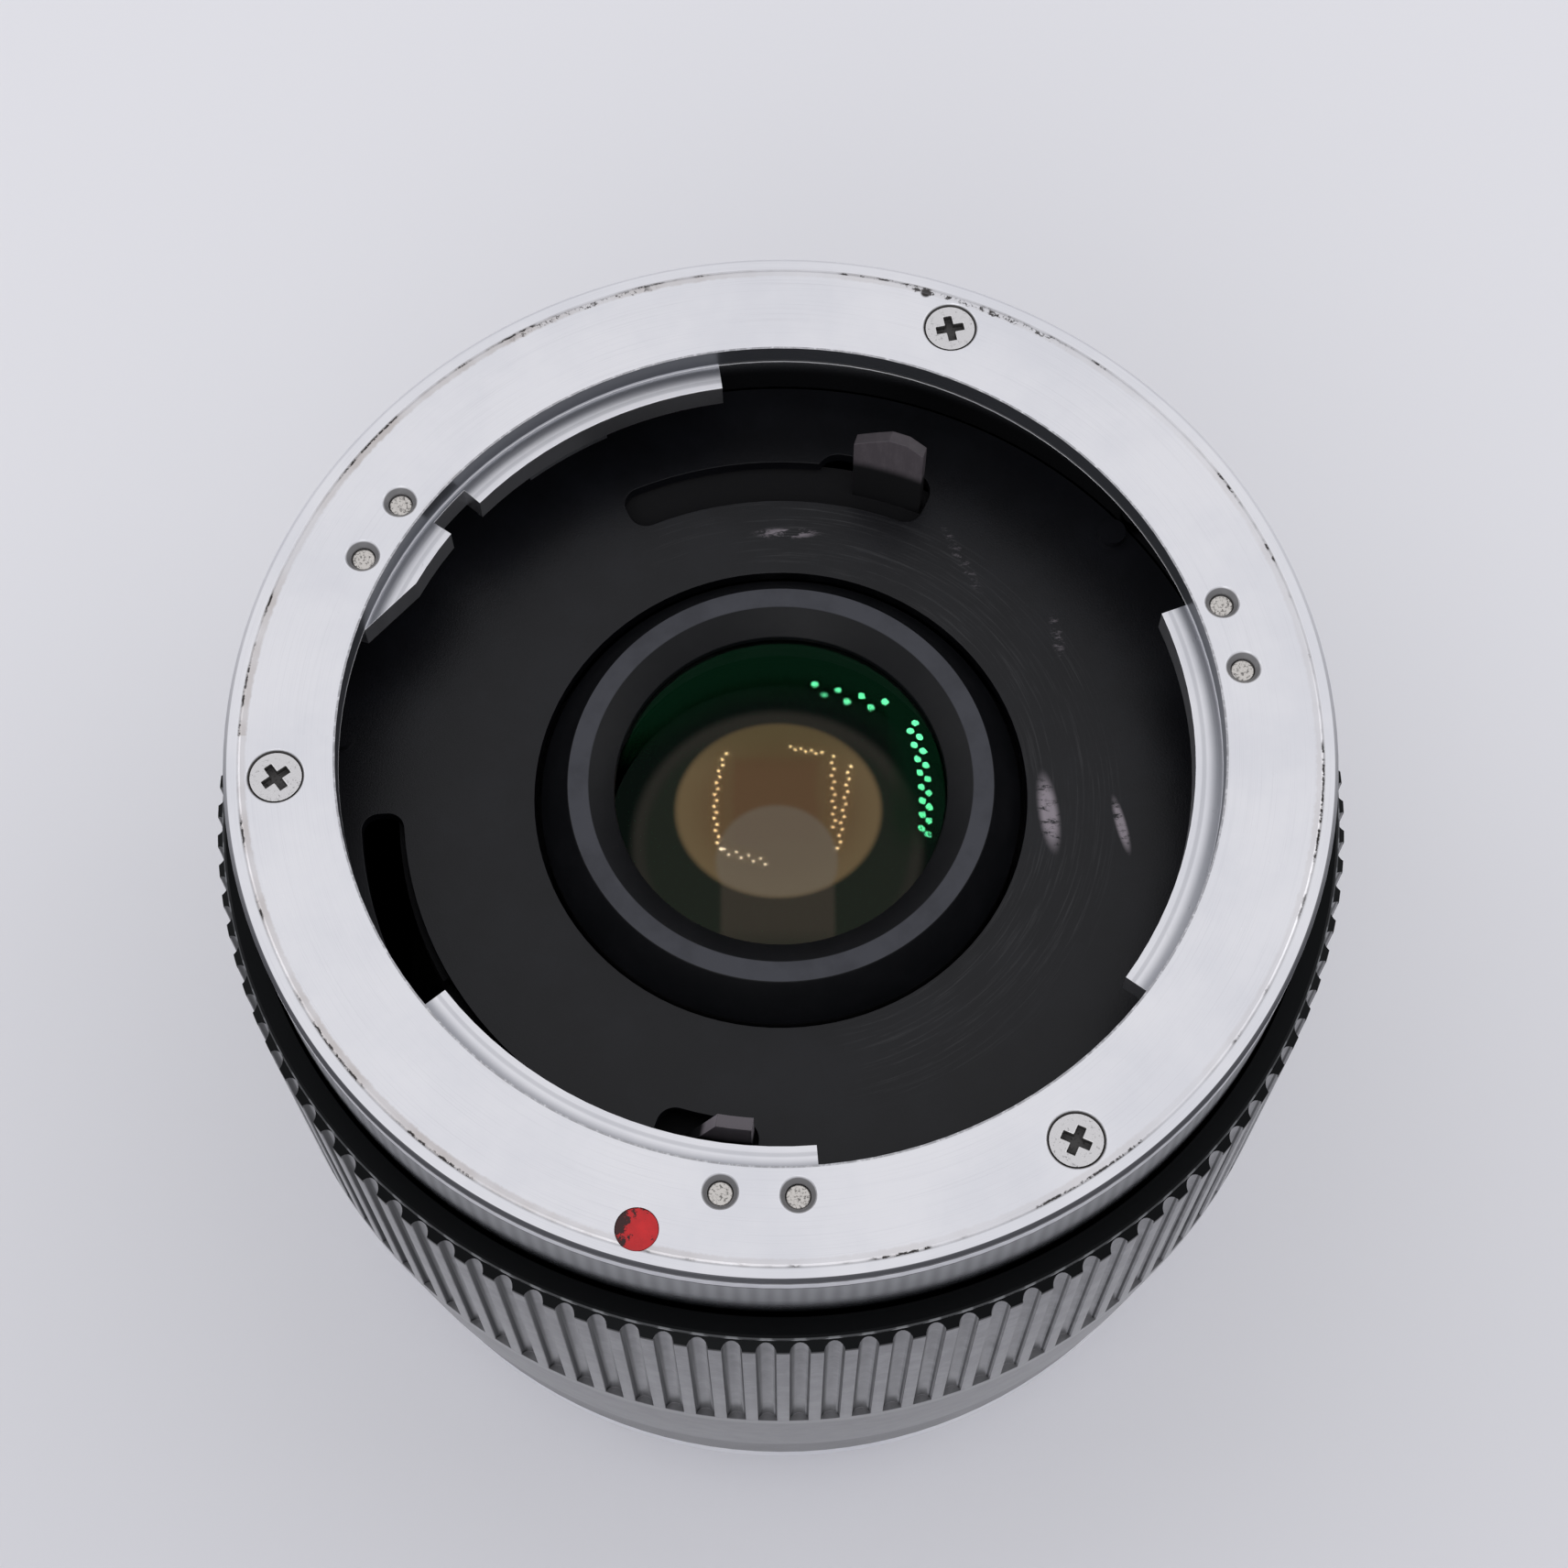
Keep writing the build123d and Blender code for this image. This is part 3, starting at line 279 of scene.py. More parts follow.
def throat_masks(f, ragged):
    """Painted shade on the register wall and on the tabs' tops near it, a painted highlight
    along the wall's lower edge, and a thin dark line at the lip.
    """
    upright = abs(f.up)
    # painted shade on the register wall
    wall = f.radius.step(THROAT + 0.05, THROAT) * upright.step(0.5, 0.3)
    wall = wall * f.z.step(face_z - 1.32, face_z - 1.22)
    tab_top = f.z.step(face_z - 1.30, face_z - 1.40) * f.up.step(0.5, 0.8)
    # painted shade on the tabs' tops, strongest near the wall and at the tab edge
    shade_near_wall = f.radius.step(22.9, 23.5) * 0.65 + f.radius.band(TAB_EDGE, 0.05, 0.12) * 0.25
    # a painted highlight along the wall's lower edge
    rub_wear_and_highlight = f.radius.step(THROAT + 0.08, THROAT + 0.02) * f.z.band(face_z - 1.47, 0.05, 0.04)
    rub_wear_and_highlight = rub_wear_and_highlight * upright.step(0.75, 0.6)
    lip = f.radius.band(THROAT - 0.10, 0.03, 0.05) * f.up.step(0.6, 0.9)
    return wall, tab_top * shade_near_wall, rub_wear_and_highlight, lip * ragged.step(0.30, 0.55)


def rim_groove_shade(f):
    """A painted dark line of shade round the rim, weaker at the far side, and painted
    shadow under the flange.
    """
    side = f.radius.step(RIM, RIM + 0.1) * abs(f.up).step(0.6, 0.3)
    # painted shade along the rim's outer edge
    groove_shade = f.radius.step(RIM - 0.03, RIM + 0.01) * f.z.step(face_z - 0.44, face_z - 0.36)
    groove_shade = groove_shade * (f.y.step(14.0, -14.0) * 0.77 + 0.15)
    return (groove_shade + side * f.z.step(face_z - 1.18, face_z - 1.26)).clamped()


print("wear for", len(SCREW_TURNS), "screws and", len(RIVET_TURNS), "rivets")

# %% Chrome
def chrome_finish(name, worn):
    f = Finish(name)
    rings = f.along(f.radius * 9.0, f.angle * 0.004, f.z * 6.0).noise(1.0, 4.0, 0.7, 2.0)
    streaks = f.along(f.radius * 3.2, f.angle * 0.03, 0.0).noise(1.0, 3.0, 0.6, 7.0)
    hairs = f.along(f.radius * 22.0, f.angle * 0.05, 0.0).noise(1.0, 2.0, 0.5, 4.0)
    clouds = f.place.noise(0.16, 4.0, 0.6, 1.0)
    rough = 0.2 + streaks * 0.14 + clouds * 0.1
    tint = clouds.step(0.35, 0.7).blend((0.89, 0.89, 0.915), (0.82, 0.825, 0.86))
    height = rings + hairs * 0.5
    metal = 1.0
    if worn:
        patchy = f.along(f.angle * 0.06, 0.0, 0.0).noise(1.0, 3.0, 0.7, 3.0)
        ragged = f.along(f.angle * 0.9, f.radius * 1.6, 0.0).noise(1.0, 5.0, 0.75, 5.0)
        chips, rust = step_line_wear(f, patchy, ragged)
        grease_and_shade = seat_grease_and_shade(f)
        wall, tab_top, rub_wear_and_highlight, lip = throat_masks(f, ragged)
        scuffed = hairs.step(0.52, 0.70) * 0.16 + streaks.step(0.55, 0.75) * 0.12
        tint = painted(
            tint,
            (rust, (0.40, 0.33, 0.28)),
            (chips, (0.020, 0.016, 0.014)),
            # painted shade, with some grease, in the screws' countersinks and round the rivets
            (grease_and_shade, (0.030, 0.027, 0.025)),
            # painted shade on the register wall and on the tabs' tops near it
            (wall * 0.93, (0.060, 0.066, 0.080)),
            (tab_top, (0.17, 0.18, 0.21)),
            # a painted highlight along the register wall's lower edge
            (rub_wear_and_highlight, (0.88, 0.88, 0.90)),
            (lip * 0.6, (0.10, 0.10, 0.11)),
            # a painted dark line of shade round the rim and painted shadow under the flange
            (rim_groove_shade(f), (0.035, 0.036, 0.044)),
            (scuffed * f.up.step(0.6, 0.9), (0.55, 0.55, 0.59)))
        metal = 1 - (chips * 0.9 + rust * 0.35).clamped()
        metal = metal * (1 - grease_and_shade * 0.9) * (1 - rub_wear_and_highlight) * (1 - wall * 0.35)
        rough = rough + chips * 0.35 + rust * 0.25
        nicks = f.place.noise(1.9, 1.0, 0.4, 9.0).step(0.70, 0.73)
        height = height - chips * 3.0 - nicks * 1.5
    return f.close(Base_Color=tint, Metallic=metal, Roughness=rough,
                   Normal=f.bump(height, 0.30, 0.012))


worn_chrome = chrome_finish("chrome_worn", True)
plain_chrome = chrome_finish("chrome_plain", False)
print("chrome:", len(worn_chrome.node_tree.nodes), "nodes")

# %% [markdown]
# ## Screw heads, rivets and springs
# Screw heads are nickel-plated steel that shines a little more than the chrome. The rivets are
# punched ends: bright, torn tops with grime on them, and painted shade round them in the chrome.

# %% Steel
def steel_finish(name, base, low, torn):
    f = Finish(name)
    grain = f.place.noise(7.0, 5.0, 0.7, 1.0)
    fine = f.place.noise(30.0, 2.0, 0.6, 2.0)
    dirt_and_shade = grain.step(0.50, 0.60) * torn
    tint = (dirt_and_shade * 0.8).blend(base, tuple(share * 0.3 for share in base))
    return f.close(Base_Color=tint, Metallic=1.0, Roughness=low + grain * 0.16 + dirt_and_shade * 0.2,
                   Normal=f.bump(grain * (0.4 + torn) + fine * 0.4, 0.5, 0.03))


def screw_finish():
    """Bright heads with painted shade in the cross recess, ragged at its edges, and specks of grime."""
    f = Finish("steel_screw_head")
    grain = f.place.noise(6.0, 5.0, 0.7, 1.0)
    fine = f.place.noise(30.0, 2.0, 0.6, 2.0)
    head_top = face_z - 0.1
    # painted shade in the cross recess, below the head's top
    deep = (f.z + (grain - 0.5) * 0.12).step(head_top - 0.06, head_top - 0.14)
    deep = deep * f.z.step(head_top - 3.0, head_top - 2.5)
    dirt_and_shade = (grain.step(0.55, 0.68) * 0.55 + deep * 0.93).clamped()
    tint = dirt_and_shade.blend((0.74, 0.73, 0.73), (0.035, 0.032, 0.030))
    return f.close(Base_Color=tint, Metallic=1 - deep * 0.5,
                   Roughness=0.14 + grain * 0.14 + deep * 0.4,
                   Normal=f.bump(grain * 0.8 + fine * 0.4, 0.5, 0.04))


def brass_finish():
    f = Finish("brass_turned")
    rings = f.along(f.radius * 8.0, 0.0, f.z * 8.0).noise(1.0, 3.0, 0.6, 3.0)
    stain = f.place.noise(0.5, 4.0, 0.6, 1.0)
    tint = stain.step(0.4, 0.7).blend((0.72, 0.52, 0.22), (0.50, 0.34, 0.13))
    return f.close(Base_Color=tint, Metallic=1.0, Roughness=0.24 + stain * 0.2,
                   Normal=f.bump(rings, 0.3, 0.015))


head_steel = screw_finish()
screw_steel = steel_finish("steel_screw", (0.80, 0.79, 0.80), 0.12, 0.25)
rivet_steel = steel_finish("steel_rivet", (0.70, 0.67, 0.63), 0.20, 1.2)
spring_steel = steel_finish("steel_spring", (0.62, 0.64, 0.68), 0.22, 0.1)
brass = brass_finish()
print("metals ready, finishes", len(bpy.data.materials))

# %% [markdown]
# ## Red enamel
# The index is a drop of enamel in a shallow hole. It has chipped on one side, where the dark
# primer shows, and it carries small scratches.

# %% Enamel
def enamel_finish():
    f = Finish("enamel_red")
    centre = polar(INDEX_CIRCLE, INDEX_TURN, 0) / MM
    flakes = f.place.noise(2.6, 5.0, 0.75, 6.0)
    side = ((f.x - centre.x) * -1.0 + (f.y - centre.y) * 0.35).step(0.15, 0.95)
    chips = (flakes + side * 0.17).step(0.585, 0.62)
    faded = f.place.noise(1.2, 3.0, 0.5, 1.0).step(0.35, 0.7)
    tint = painted((0.46, 0.003, 0.006), (faded, (0.60, 0.006, 0.009)),
                   (chips, (0.035, 0.006, 0.006)))
    return f.close(Base_Color=tint, Roughness=0.3 + chips * 0.35,
                   Coat_Weight=0.12 * (1 - chips), Coat_Roughness=0.1,
                   Normal=f.bump(flakes - chips * 1.2, 0.5, 0.05))


red_enamel = enamel_finish()
print("enamel at", INDEX_TURN, "degrees")

# %% [markdown]
# ## Black anodised aluminium
# The neck is polished before it is anodised, so it mirrors the table; the grip is a touch
# rougher and greyer where hands have worn it. Anodising is a hard clear layer over dark metal:
# a dark metallic base with a coat shows both the mirror and the black. The grey band that the
# table's mirror image leaves under the rim is written into the neck's finish.

# %% Anodised blacks
def anodised_finish(name, base, rough, coat, worn):
    f = Finish(name)
    rings = f.along(f.radius * 0.4, f.angle * 0.002, f.z * 7.0).noise(1.0, 4.0, 0.65, 2.0)
    patches = f.place.noise(0.35, 5.0, 0.65, 4.0)
    dust = f.place.noise(11.0, 2.0, 0.5, 8.0).step(0.70, 0.76)
    lighter = tuple(min(1.0, share * (1.0 + worn) + 0.02 * worn) for share in base)
    tint = patches.step(0.40, 0.68).blend(base, lighter)
    return f.close(Base_Color=tint, Metallic=0.85, Specular_IOR_Level=0.6,
                   Roughness=rough + patches * 0.12 + dust * 0.25,
                   Coat_Weight=coat, Coat_Roughness=0.12,
                   Normal=f.bump(rings + patches * 0.3, 0.22, 0.012))


def neck_finish():
    """A polished neck: black below; under the rim a painted reflection of the table, a grey band
    with soft lines from the flutes.
    """
    f = Finish("anodised_neck")
    patches = f.place.noise(0.35, 4.0, 0.6, 4.0)
    # a painted reflection of the table and of the flutes under the rim
    flute_reflection = f.start.sum("SINE", f.angle * (math.pi / 180 * 2 * FLUTES)) * 0.5 + 0.5
    band = f.z.step(face_z - 6.6, face_z - 3.9)
    tint = painted((0.055, 0.058, 0.066), (band, (0.25, 0.255, 0.27)),
                   (flute_reflection * band * 0.45, (0.10, 0.102, 0.11)))
    rings = f.along(f.radius * 0.4, f.angle * 0.002, f.z * 6.0).noise(1.0, 3.0, 0.6, 2.0)
    return f.close(Base_Color=tint, Metallic=1 - band * 0.85,
                   Roughness=0.08 + patches * 0.06 + band * 0.25,
                   Normal=f.bump(rings, 0.10, 0.006))


def grip_finish():
    """Worn grey lands, painted shade along one wall of each flute with a little grease, a painted
    glint at the lip, black bevel and lip.
    """
    f = Finish("anodised_grip")
    patches = f.place.noise(0.5, 5.0, 0.7, 4.0)
    grease = f.along(f.angle * 0.35, f.z * 0.25, f.radius).noise(1.0, 5.0, 0.7, 6.0)
    across = f.start.sum("FRACT", f.angle * (FLUTES / 360.0) + 0.5) - 0.5
    wall = f.up.step(0.5, 0.3) * f.radius.step(GRIP_RADIUS - 0.03, GRIP_RADIUS - 0.10)
    wall = wall * f.z.step(bevel_foot + 0.55, bevel_foot + 0.45)
    top = f.z.step(bevel_foot - 0.35, bevel_foot - 0.18) * (1 - wall)
    deep = wall * f.z.step(flute_foot - 0.5, flute_foot - 0.1)
    # painted shade along the left wall of each flute and on a thin line at its right edge
    edges = across.step(-0.11, -0.24) * 0.95 + across.band(0.262, 0.014, 0.012) * 0.8
    shade = edges + across.step(0.20, -0.16) * 0.20 + grease.step(0.45, 0.65) * 0.15 + 0.04
    shade = (deep * shade).clamped()
    # a painted highlight along the lip's edge, brighter over each flute
    glint = f.radius.band(30.93, 0.03, 0.04) * f.z.step(bevel_foot + 0.7, bevel_foot + 0.95)
    glint = glint * (0.25 + across.band(0.0, 0.12, 0.10) * 0.4)
    tint = painted(
        (0.190, 0.190, 0.198),
        (patches.step(0.38, 0.68), (0.265, 0.265, 0.275)),
        (f.z.step(skirt_top + 0.5, skirt_top - 0.5), (0.092, 0.092, 0.098)),
        (shade, (0.018, 0.019, 0.021)),
        (top, (0.0055, 0.0060, 0.0065)),
        (glint.clamped(), (0.30, 0.31, 0.32)))
    rings = f.along(0.0, 0.0, f.z * 9.0).noise(1.0, 3.0, 0.6, 2.0)
    return f.close(Base_Color=tint, Metallic=0.85, Roughness=0.24 + patches * 0.12,
                   Specular_IOR_Level=0.3, Coat_Weight=0.25 * (1 - top) * (1 - shade),
                   Coat_Roughness=0.16, Normal=f.bump(rings * 0.5 + patches * 0.5, 0.22, 0.012))


neck_black = neck_finish()
satin_black = anodised_finish("anodised_satin", (0.035, 0.035, 0.037), 0.26, 0.2, 0.2)
grip_black = grip_finish()
print("anodised ready, finishes", len(bpy.data.materials))

# %% [markdown]
# ## Matt black inside
# The baffle is sprayed with flat optical black so that no light is thrown back into the lens.
# Lens rears have rubbed it: pale scuffs beside the window and fine arcs round it.

# %% Flat optical black
SCUFFS = (  # x, y, half width, half length, lean, noise from, noise to, share
    (14.9, -1.2, 0.55, 2.2, 6, 0.38, 0.50, 1.0), (18.9, -2.0, 0.30, 1.6, 12, 0.38, 0.50, 1.0),
    (15.8, 9.6, 0.35, 1.6, 8, 0.50, 0.62, 0.4), (0.4, 16.3, 1.8, 0.35, 0, 0.47, 0.58, 0.7),
    (10.5, 14.5, 0.35, 2.4, 25, 0.50, 0.62, 0.35))


def baffle_finish():
    f = Finish("baffle_flat_black")
    speck = f.place.noise(9.0, 3.0, 0.6, 1.0)
    clouds = f.place.noise(0.28, 4.0, 0.6, 3.0)
    torn = f.along(f.x * 0.9, f.y * 2.4, 0.0).noise(1.0, 5.0, 0.8, 5.0)
    hair = f.along(f.radius * 6.0, f.angle * 0.05, 0.0).noise(1.0, 4.0, 0.7, 2.0)
    scuffs = 0.0
    for x, y, wide, long, lean, low, high, share in SCUFFS:
        scuffs = scuffs + f.streak(x, y, wide, long, lean) * torn.step(low, high) * share
    right_arcs = f.radius.band(16.2, 1.6, 1.8) * (f.arc(45, 42, 16) + f.arc(-42, 24, 16))
    far_arcs = f.radius.band(17.5, 0.9, 1.6) * f.arc(95, 14, 12) * 0.7
    arcs = right_arcs * hair.step(0.50, 0.68) + far_arcs * hair.step(0.54, 0.70)
    tint = painted(
        (0.0024, 0.0026, 0.0040),
        (clouds.step(0.35, 0.7), (0.0048, 0.0052, 0.0074)),
        ((arcs * 0.20).clamped(), (0.10, 0.10, 0.105)),
        (scuffs.clamped(), (0.30, 0.265, 0.295)))
    return f.close(Base_Color=tint, Roughness=0.30 + speck * 0.14, Specular_IOR_Level=0.34,
                   Normal=f.bump(speck + clouds, 0.4, 0.03))


def flat_black(name, base, rough, level):
    f = Finish(name)
    speck = f.place.noise(8.0, 3.0, 0.6, 1.0)
    clouds = f.place.noise(0.4, 4.0, 0.6, 3.0)
    tint = clouds.step(0.35, 0.7).blend(base, tuple(share * 1.6 + 0.002 for share in base))
    return f.close(Base_Color=tint, Roughness=rough + speck * 0.15, Specular_IOR_Level=level,
                   Normal=f.bump(speck + clouds, 0.3, 0.02))


def cell_finish():
    """Semi-matt enamel: the flat ring is a lighter grey, the cone and the slope stay dark."""
    f = Finish("cell_enamel")
    speck = f.place.noise(10.0, 3.0, 0.6, 1.0)
    clouds = f.place.noise(0.4, 4.0, 0.6, 3.0)
    flat = f.up.step(0.9, 0.97) * f.radius.step(12.9, 12.4)
    tint = painted((0.0035, 0.0038, 0.0048), (flat, (0.054, 0.056, 0.066)),
                   (clouds.step(0.4, 0.7) * 0.3, (0.010, 0.010, 0.012)))
    return f.close(Base_Color=tint, Roughness=0.34 + speck * 0.16, Specular_IOR_Level=0.20,
                   Normal=f.bump(speck + clouds, 0.3, 0.02))


def lever_bronze():
    """Bronze-grey blades with worn patches; painted shade darkens them towards their rings and on
    their upward faces, and the lower blade is painted lighter.
    """
    f = Finish("lever_bronze")
    speck = f.place.noise(8.0, 3.0, 0.6, 1.0)
    rub_wear_and_highlight = f.along(f.angle * 0.7, f.radius * 2.0, f.z * 0.5).noise(1.0, 4.0, 0.7, 3.0)
    # on the upper blade the painted shade reaches 1.9 mm higher than on the lower one
    painted_shade_level = f.y.step(-5.0, 5.0) * 1.9 + (face_z - 8.3)
    ring = (f.z - painted_shade_level).step(1.7, 0.6)
    tint = painted(
        (0.135, 0.118, 0.132),
        (rub_wear_and_highlight.step(0.42, 0.64), (0.165, 0.145, 0.160)),
        # painted light: the lower blade, which sits in shade, is painted lighter
        (f.y.step(5.0, -5.0) * 0.9, (0.46, 0.42, 0.46)),
        # painted shade on the upward faces
        (f.up.step(0.3, 0.7) * 0.75, (0.038, 0.033, 0.037)),
        # painted shade towards the rings
        (ring, (0.004, 0.004, 0.005)))
    return f.close(Base_Color=tint, Metallic=0.2 * (1 - ring), Specular_IOR_Level=0.3,
                   Roughness=0.34 + speck * 0.12 + ring * 0.4,
                   Normal=f.bump(speck + rub_wear_and_highlight, 0.2, 0.02))


baffle_black = baffle_finish()
inner_black = flat_black("inner_black", (0.012, 0.012, 0.013), 0.6, 0.3)
cell_black = cell_finish()
lever_finish = lever_bronze()
print("blacks ready, finishes", len(bpy.data.materials))

# %% [markdown]
# ## Coated glass
# Each face of the glass throws back a few per cent of the light, tinted by its coating. The
# first element is clear with a green coating. Deeper in, the eye sees mostly amber reflections
# from the cemented elements over a dark tube: the next face is a dark mirror with these
# reflections painted on it, fading towards the rim, and the faces behind have an amber tint.

# %% Glass
def front_coating():
    """The first element: clear, with a dark green mirror that shows only in a painted curved band
    and a patch at its side.
    """
    f = Finish("glass_front")
    # where the mirror shows is painted: a curved band and a patch at the side
    reflection_crescent = f.x.hypot(f.y + 3.0).step(7.4, 10.6) * f.y.step(0.5, 4.5)
    side = f.x.step(5.6, 7.2) * f.y.step(-4.5, -1.5)
    # a ray that comes up from below is let through, and the lower face is bloomed
    inside = f.start.make("ShaderNodeNewGeometry", take="Backfacing")
    upper = f.z.step(face_z - 9.2, face_z - 8.4) * (1 - inside)
    share = ((reflection_crescent + side * 0.8).clamped() * 0.78 + 0.02) * upper
    return f.close(Base_Color=(0.0022, 0.0150, 0.0062), Metallic=1.0, Roughness=0.0, Alpha=share)


def coated_glass(name, tint, gain):
    """A clear element: it shows what lies behind, and its coating tints what it mirrors."""
    f = Finish(name)
    weight = f.start.make("ShaderNodeFresnel", None, {"IOR": 1.55})
    return f.close(Base_Color=tint, Metallic=1.0, Roughness=0.0, Alpha=(weight * gain).clamped())


def painted_amber_reflection(name):
    """The cemented pair behind it, a dark mirror with painted reflections: an amber disc, a lighter
    lobe below, dark towards the rim.
    """
    f = Finish(name)
    cloud = f.place.noise(0.35, 3.0, 0.5, 3.0)
    uneven = (cloud - 0.5) * 0.9
    reach = ((f.x + 0.15) / 5.75).hypot((f.y - 0.55) / 5.2)
    far = (f.x + 0.2).hypot(f.y + 1.6)
    disc = reach.step(1.06, 0.97)
    foot = f.x.band(-0.2, 3.0, 0.4) * f.y.step(-3.0, -4.0) * f.y.step(-8.8, -6.4)
    square = (f.x + uneven).band(-0.25, 2.1, 0.6) * (f.y + uneven).band(1.2, 2.2, 0.7)
    lobe = f.spot(-0.25, -2.55, 3.25, 0.4) * disc
    # painted reflections of the tent: amber disc, lighter lobe and foot, darker square and top
    tint = painted(
        (0.0035, 0.0060, 0.0045),
        (far.step(8.6, 7.9), (0.026, 0.025, 0.020)),
        (far.step(7.9, 7.2) * f.y.step(6.2, 3.0), (0.017, 0.021, 0.015)),
        (foot * 0.8, (0.052, 0.044, 0.033)),
        (disc, (0.128, 0.084, 0.042)),
        ((disc * reach.step(0.60, 0.98)).clamped() * 0.50, (0.175, 0.132, 0.068)),
        (square * 0.6, (0.118, 0.064, 0.034)),
        (lobe * 0.65, (0.165, 0.140, 0.104)),
        (f.y.step(2.6, 5.6) * disc * 0.45, (0.060, 0.052, 0.020)))
    return f.close(Base_Color=tint, Metallic=1.0, Roughness=0.015 + cloud * 0.01)


front_glass = front_coating()
amber_reflection_glass = painted_amber_reflection("glass_amber_painted_reflection")
deep_glass = coated_glass("glass_deep", (1.0, 0.75, 0.42), 1.5)
print("glass ready, finishes", len(bpy.data.materials))

# %% [markdown]
# ## Dressing a CAD node
# A CAD solid arrives as loose flat triangles. A copy is merged, its coplanar triangles are
# joined, its round walls are shaded smooth and its sharp edges get the small break that real
# machined edges have, which is what catches the light. The copy then stands for the node.

# %% The dressing helpers
bodies = frame["record"]["behaviour"]["bodies"]
node_body = {node: body for body, members in bodies.items() for node in members}
SAME_POINT, SAME_PLANE = 0.0005 * MM, math.radians(0.4)


def new_piece(name, mesh, material=None):
    piece = bpy.data.objects.new(name, mesh)
    bpy.context.scene.collection.objects.link(piece)
    if material:
        mesh.materials.clear()
        mesh.materials.append(material)
    return piece


def apply_modifiers(piece):
    bpy.context.view_layer.update()
    graph = bpy.context.evaluated_depsgraph_get()
    mesh = bpy.data.meshes.new_from_object(piece.evaluated_get(graph))
    piece.modifiers.clear()
    piece.data = mesh
    return piece


def stands_for(piece, node):
    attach(piece, node_body[node])
    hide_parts(node)
    return piece


def shade_by_angle(work, degrees):
    """Smooth shading that breaks at open edges and at edges sharper than some degrees."""
    for face in work.faces:
        face.smooth = True
    for edge in work.edges:
        closed = len(edge.link_faces) == 2
        edge.smooth = closed and edge.calc_face_angle(0) < math.radians(degrees)


def dress(node, material, break_mm=0.05, crease=32.0):
    mesh = frame["nodes"][node].data.copy()
    work = bmesh.new()
    work.from_mesh(mesh)
    bmesh.ops.remove_doubles(work, verts=work.verts, dist=SAME_POINT)
    bmesh.ops.dissolve_limit(work, angle_limit=SAME_PLANE, verts=work.verts, edges=work.edges)
    shade_by_angle(work, crease)
    work.to_mesh(mesh)
    work.free()
    piece = new_piece(node + "_dressed", mesh, material)
    bevel = piece.modifiers.new("edge_break", "BEVEL")
    bevel.width, bevel.segments = break_mm * MM, 2
    bevel.limit_method, bevel.angle_limit = "ANGLE", math.radians(max(crease, 30.0))
    bevel.harden_normals = True
    return stands_for(apply_modifiers(piece), node)


# %% Chrome pieces and plates
dressed = [dress(*row) for row in (
    ("front_bayonet", worn_chrome, 0.05, 12.0), ("rear_bayonet", plain_chrome, 0.05, 12.0),
    ("front_baffle", baffle_black, 0.03), ("front_aperture_ring", lever_finish),
    ("front_stop_down_ring", lever_finish), ("rear_aperture_ring", lever_finish),
    ("rear_stop_down_ring", lever_finish), ("rear_baffle", inner_black, 0.04),
    ("release_button", plain_chrome, 0.08), ("lock_pin", screw_steel),
    ("index_dot", red_enamel, 0.06), ("front_mount_screws", head_steel, 0.06),
    ("spring_rivets", rivet_steel, 0.10))]
print({piece.name: len(piece.data.polygons) for piece in dressed})

# %% [markdown]
# ## Turned pieces
# The lens cell and the faces of the glass are turned or ground about one axis. Spinning a
# profile with many steps gives a smooth wall that mirrors cleanly, which flat CAD facets can't.
# Profiles follow the drawing from the front face down, and each corner gets a small arc.

# %% The lathe
def turned(name, profile, material, steps):
    """Spin a closed profile of (radius, height) pairs in mm about the axis."""
    mesh = bpy.data.meshes.new(name)
    work = bmesh.new()
    rings = []
    for radius, height in profile:
        if radius < 0.001:
            rings.append([work.verts.new((0, 0, height * MM))])
        else:
            places = (polar(radius, 360 * k / steps, height) for k in range(steps))
            rings.append([work.verts.new(place) for place in places])
    for one, two in zip(rings, rings[1:] + rings[:1]):
        if len(one) == 1 and len(two) == 1:
            continue
        for k in range(steps):
            after = (k + 1) % steps
            if len(one) == 1:
                work.faces.new((one[0], two[after], two[k]))
            elif len(two) == 1:
                work.faces.new((one[k], one[after], two[0]))
            else:
                work.faces.new((one[k], one[after], two[after], two[k]))
    bmesh.ops.recalc_face_normals(work, faces=work.faces)
    shade_by_angle(work, 30.0)
    work.to_mesh(mesh)
    work.free()
    return new_piece(name, mesh, material)


def eased(corners, break_mm, parts=3):
    """The same closed profile with each corner replaced by a small arc."""
    result = []
    count = len(corners)
    for k, corner in enumerate(corners):
        here = Vector(corner)
        before, after = Vector(corners[k - 1]), Vector(corners[(k + 1) % count])
        one, two = (before - here), (after - here)
        reach = min(break_mm, one.length * 0.4, two.length * 0.4)
        start, end = here + one.normalized() * reach, here + two.normalized() * reach
        for step in range(parts + 1):
            t = step / parts
            point = start * (1 - t) ** 2 + here * 2 * t * (1 - t) + end * t * t
            result.append((max(point.x, 0.0), point.y))
    return result


print("lathe ready")

# %% [markdown]
# ## The lens cell and its glass
# A black cone leads down to a flat ring, and an inner slope falls to the glass. The glass
# sits low and dark, with its rim hidden under the cell's lip. Its faces are parts of spheres:
# the rim and pole heights of the CAD solid give each sphere.

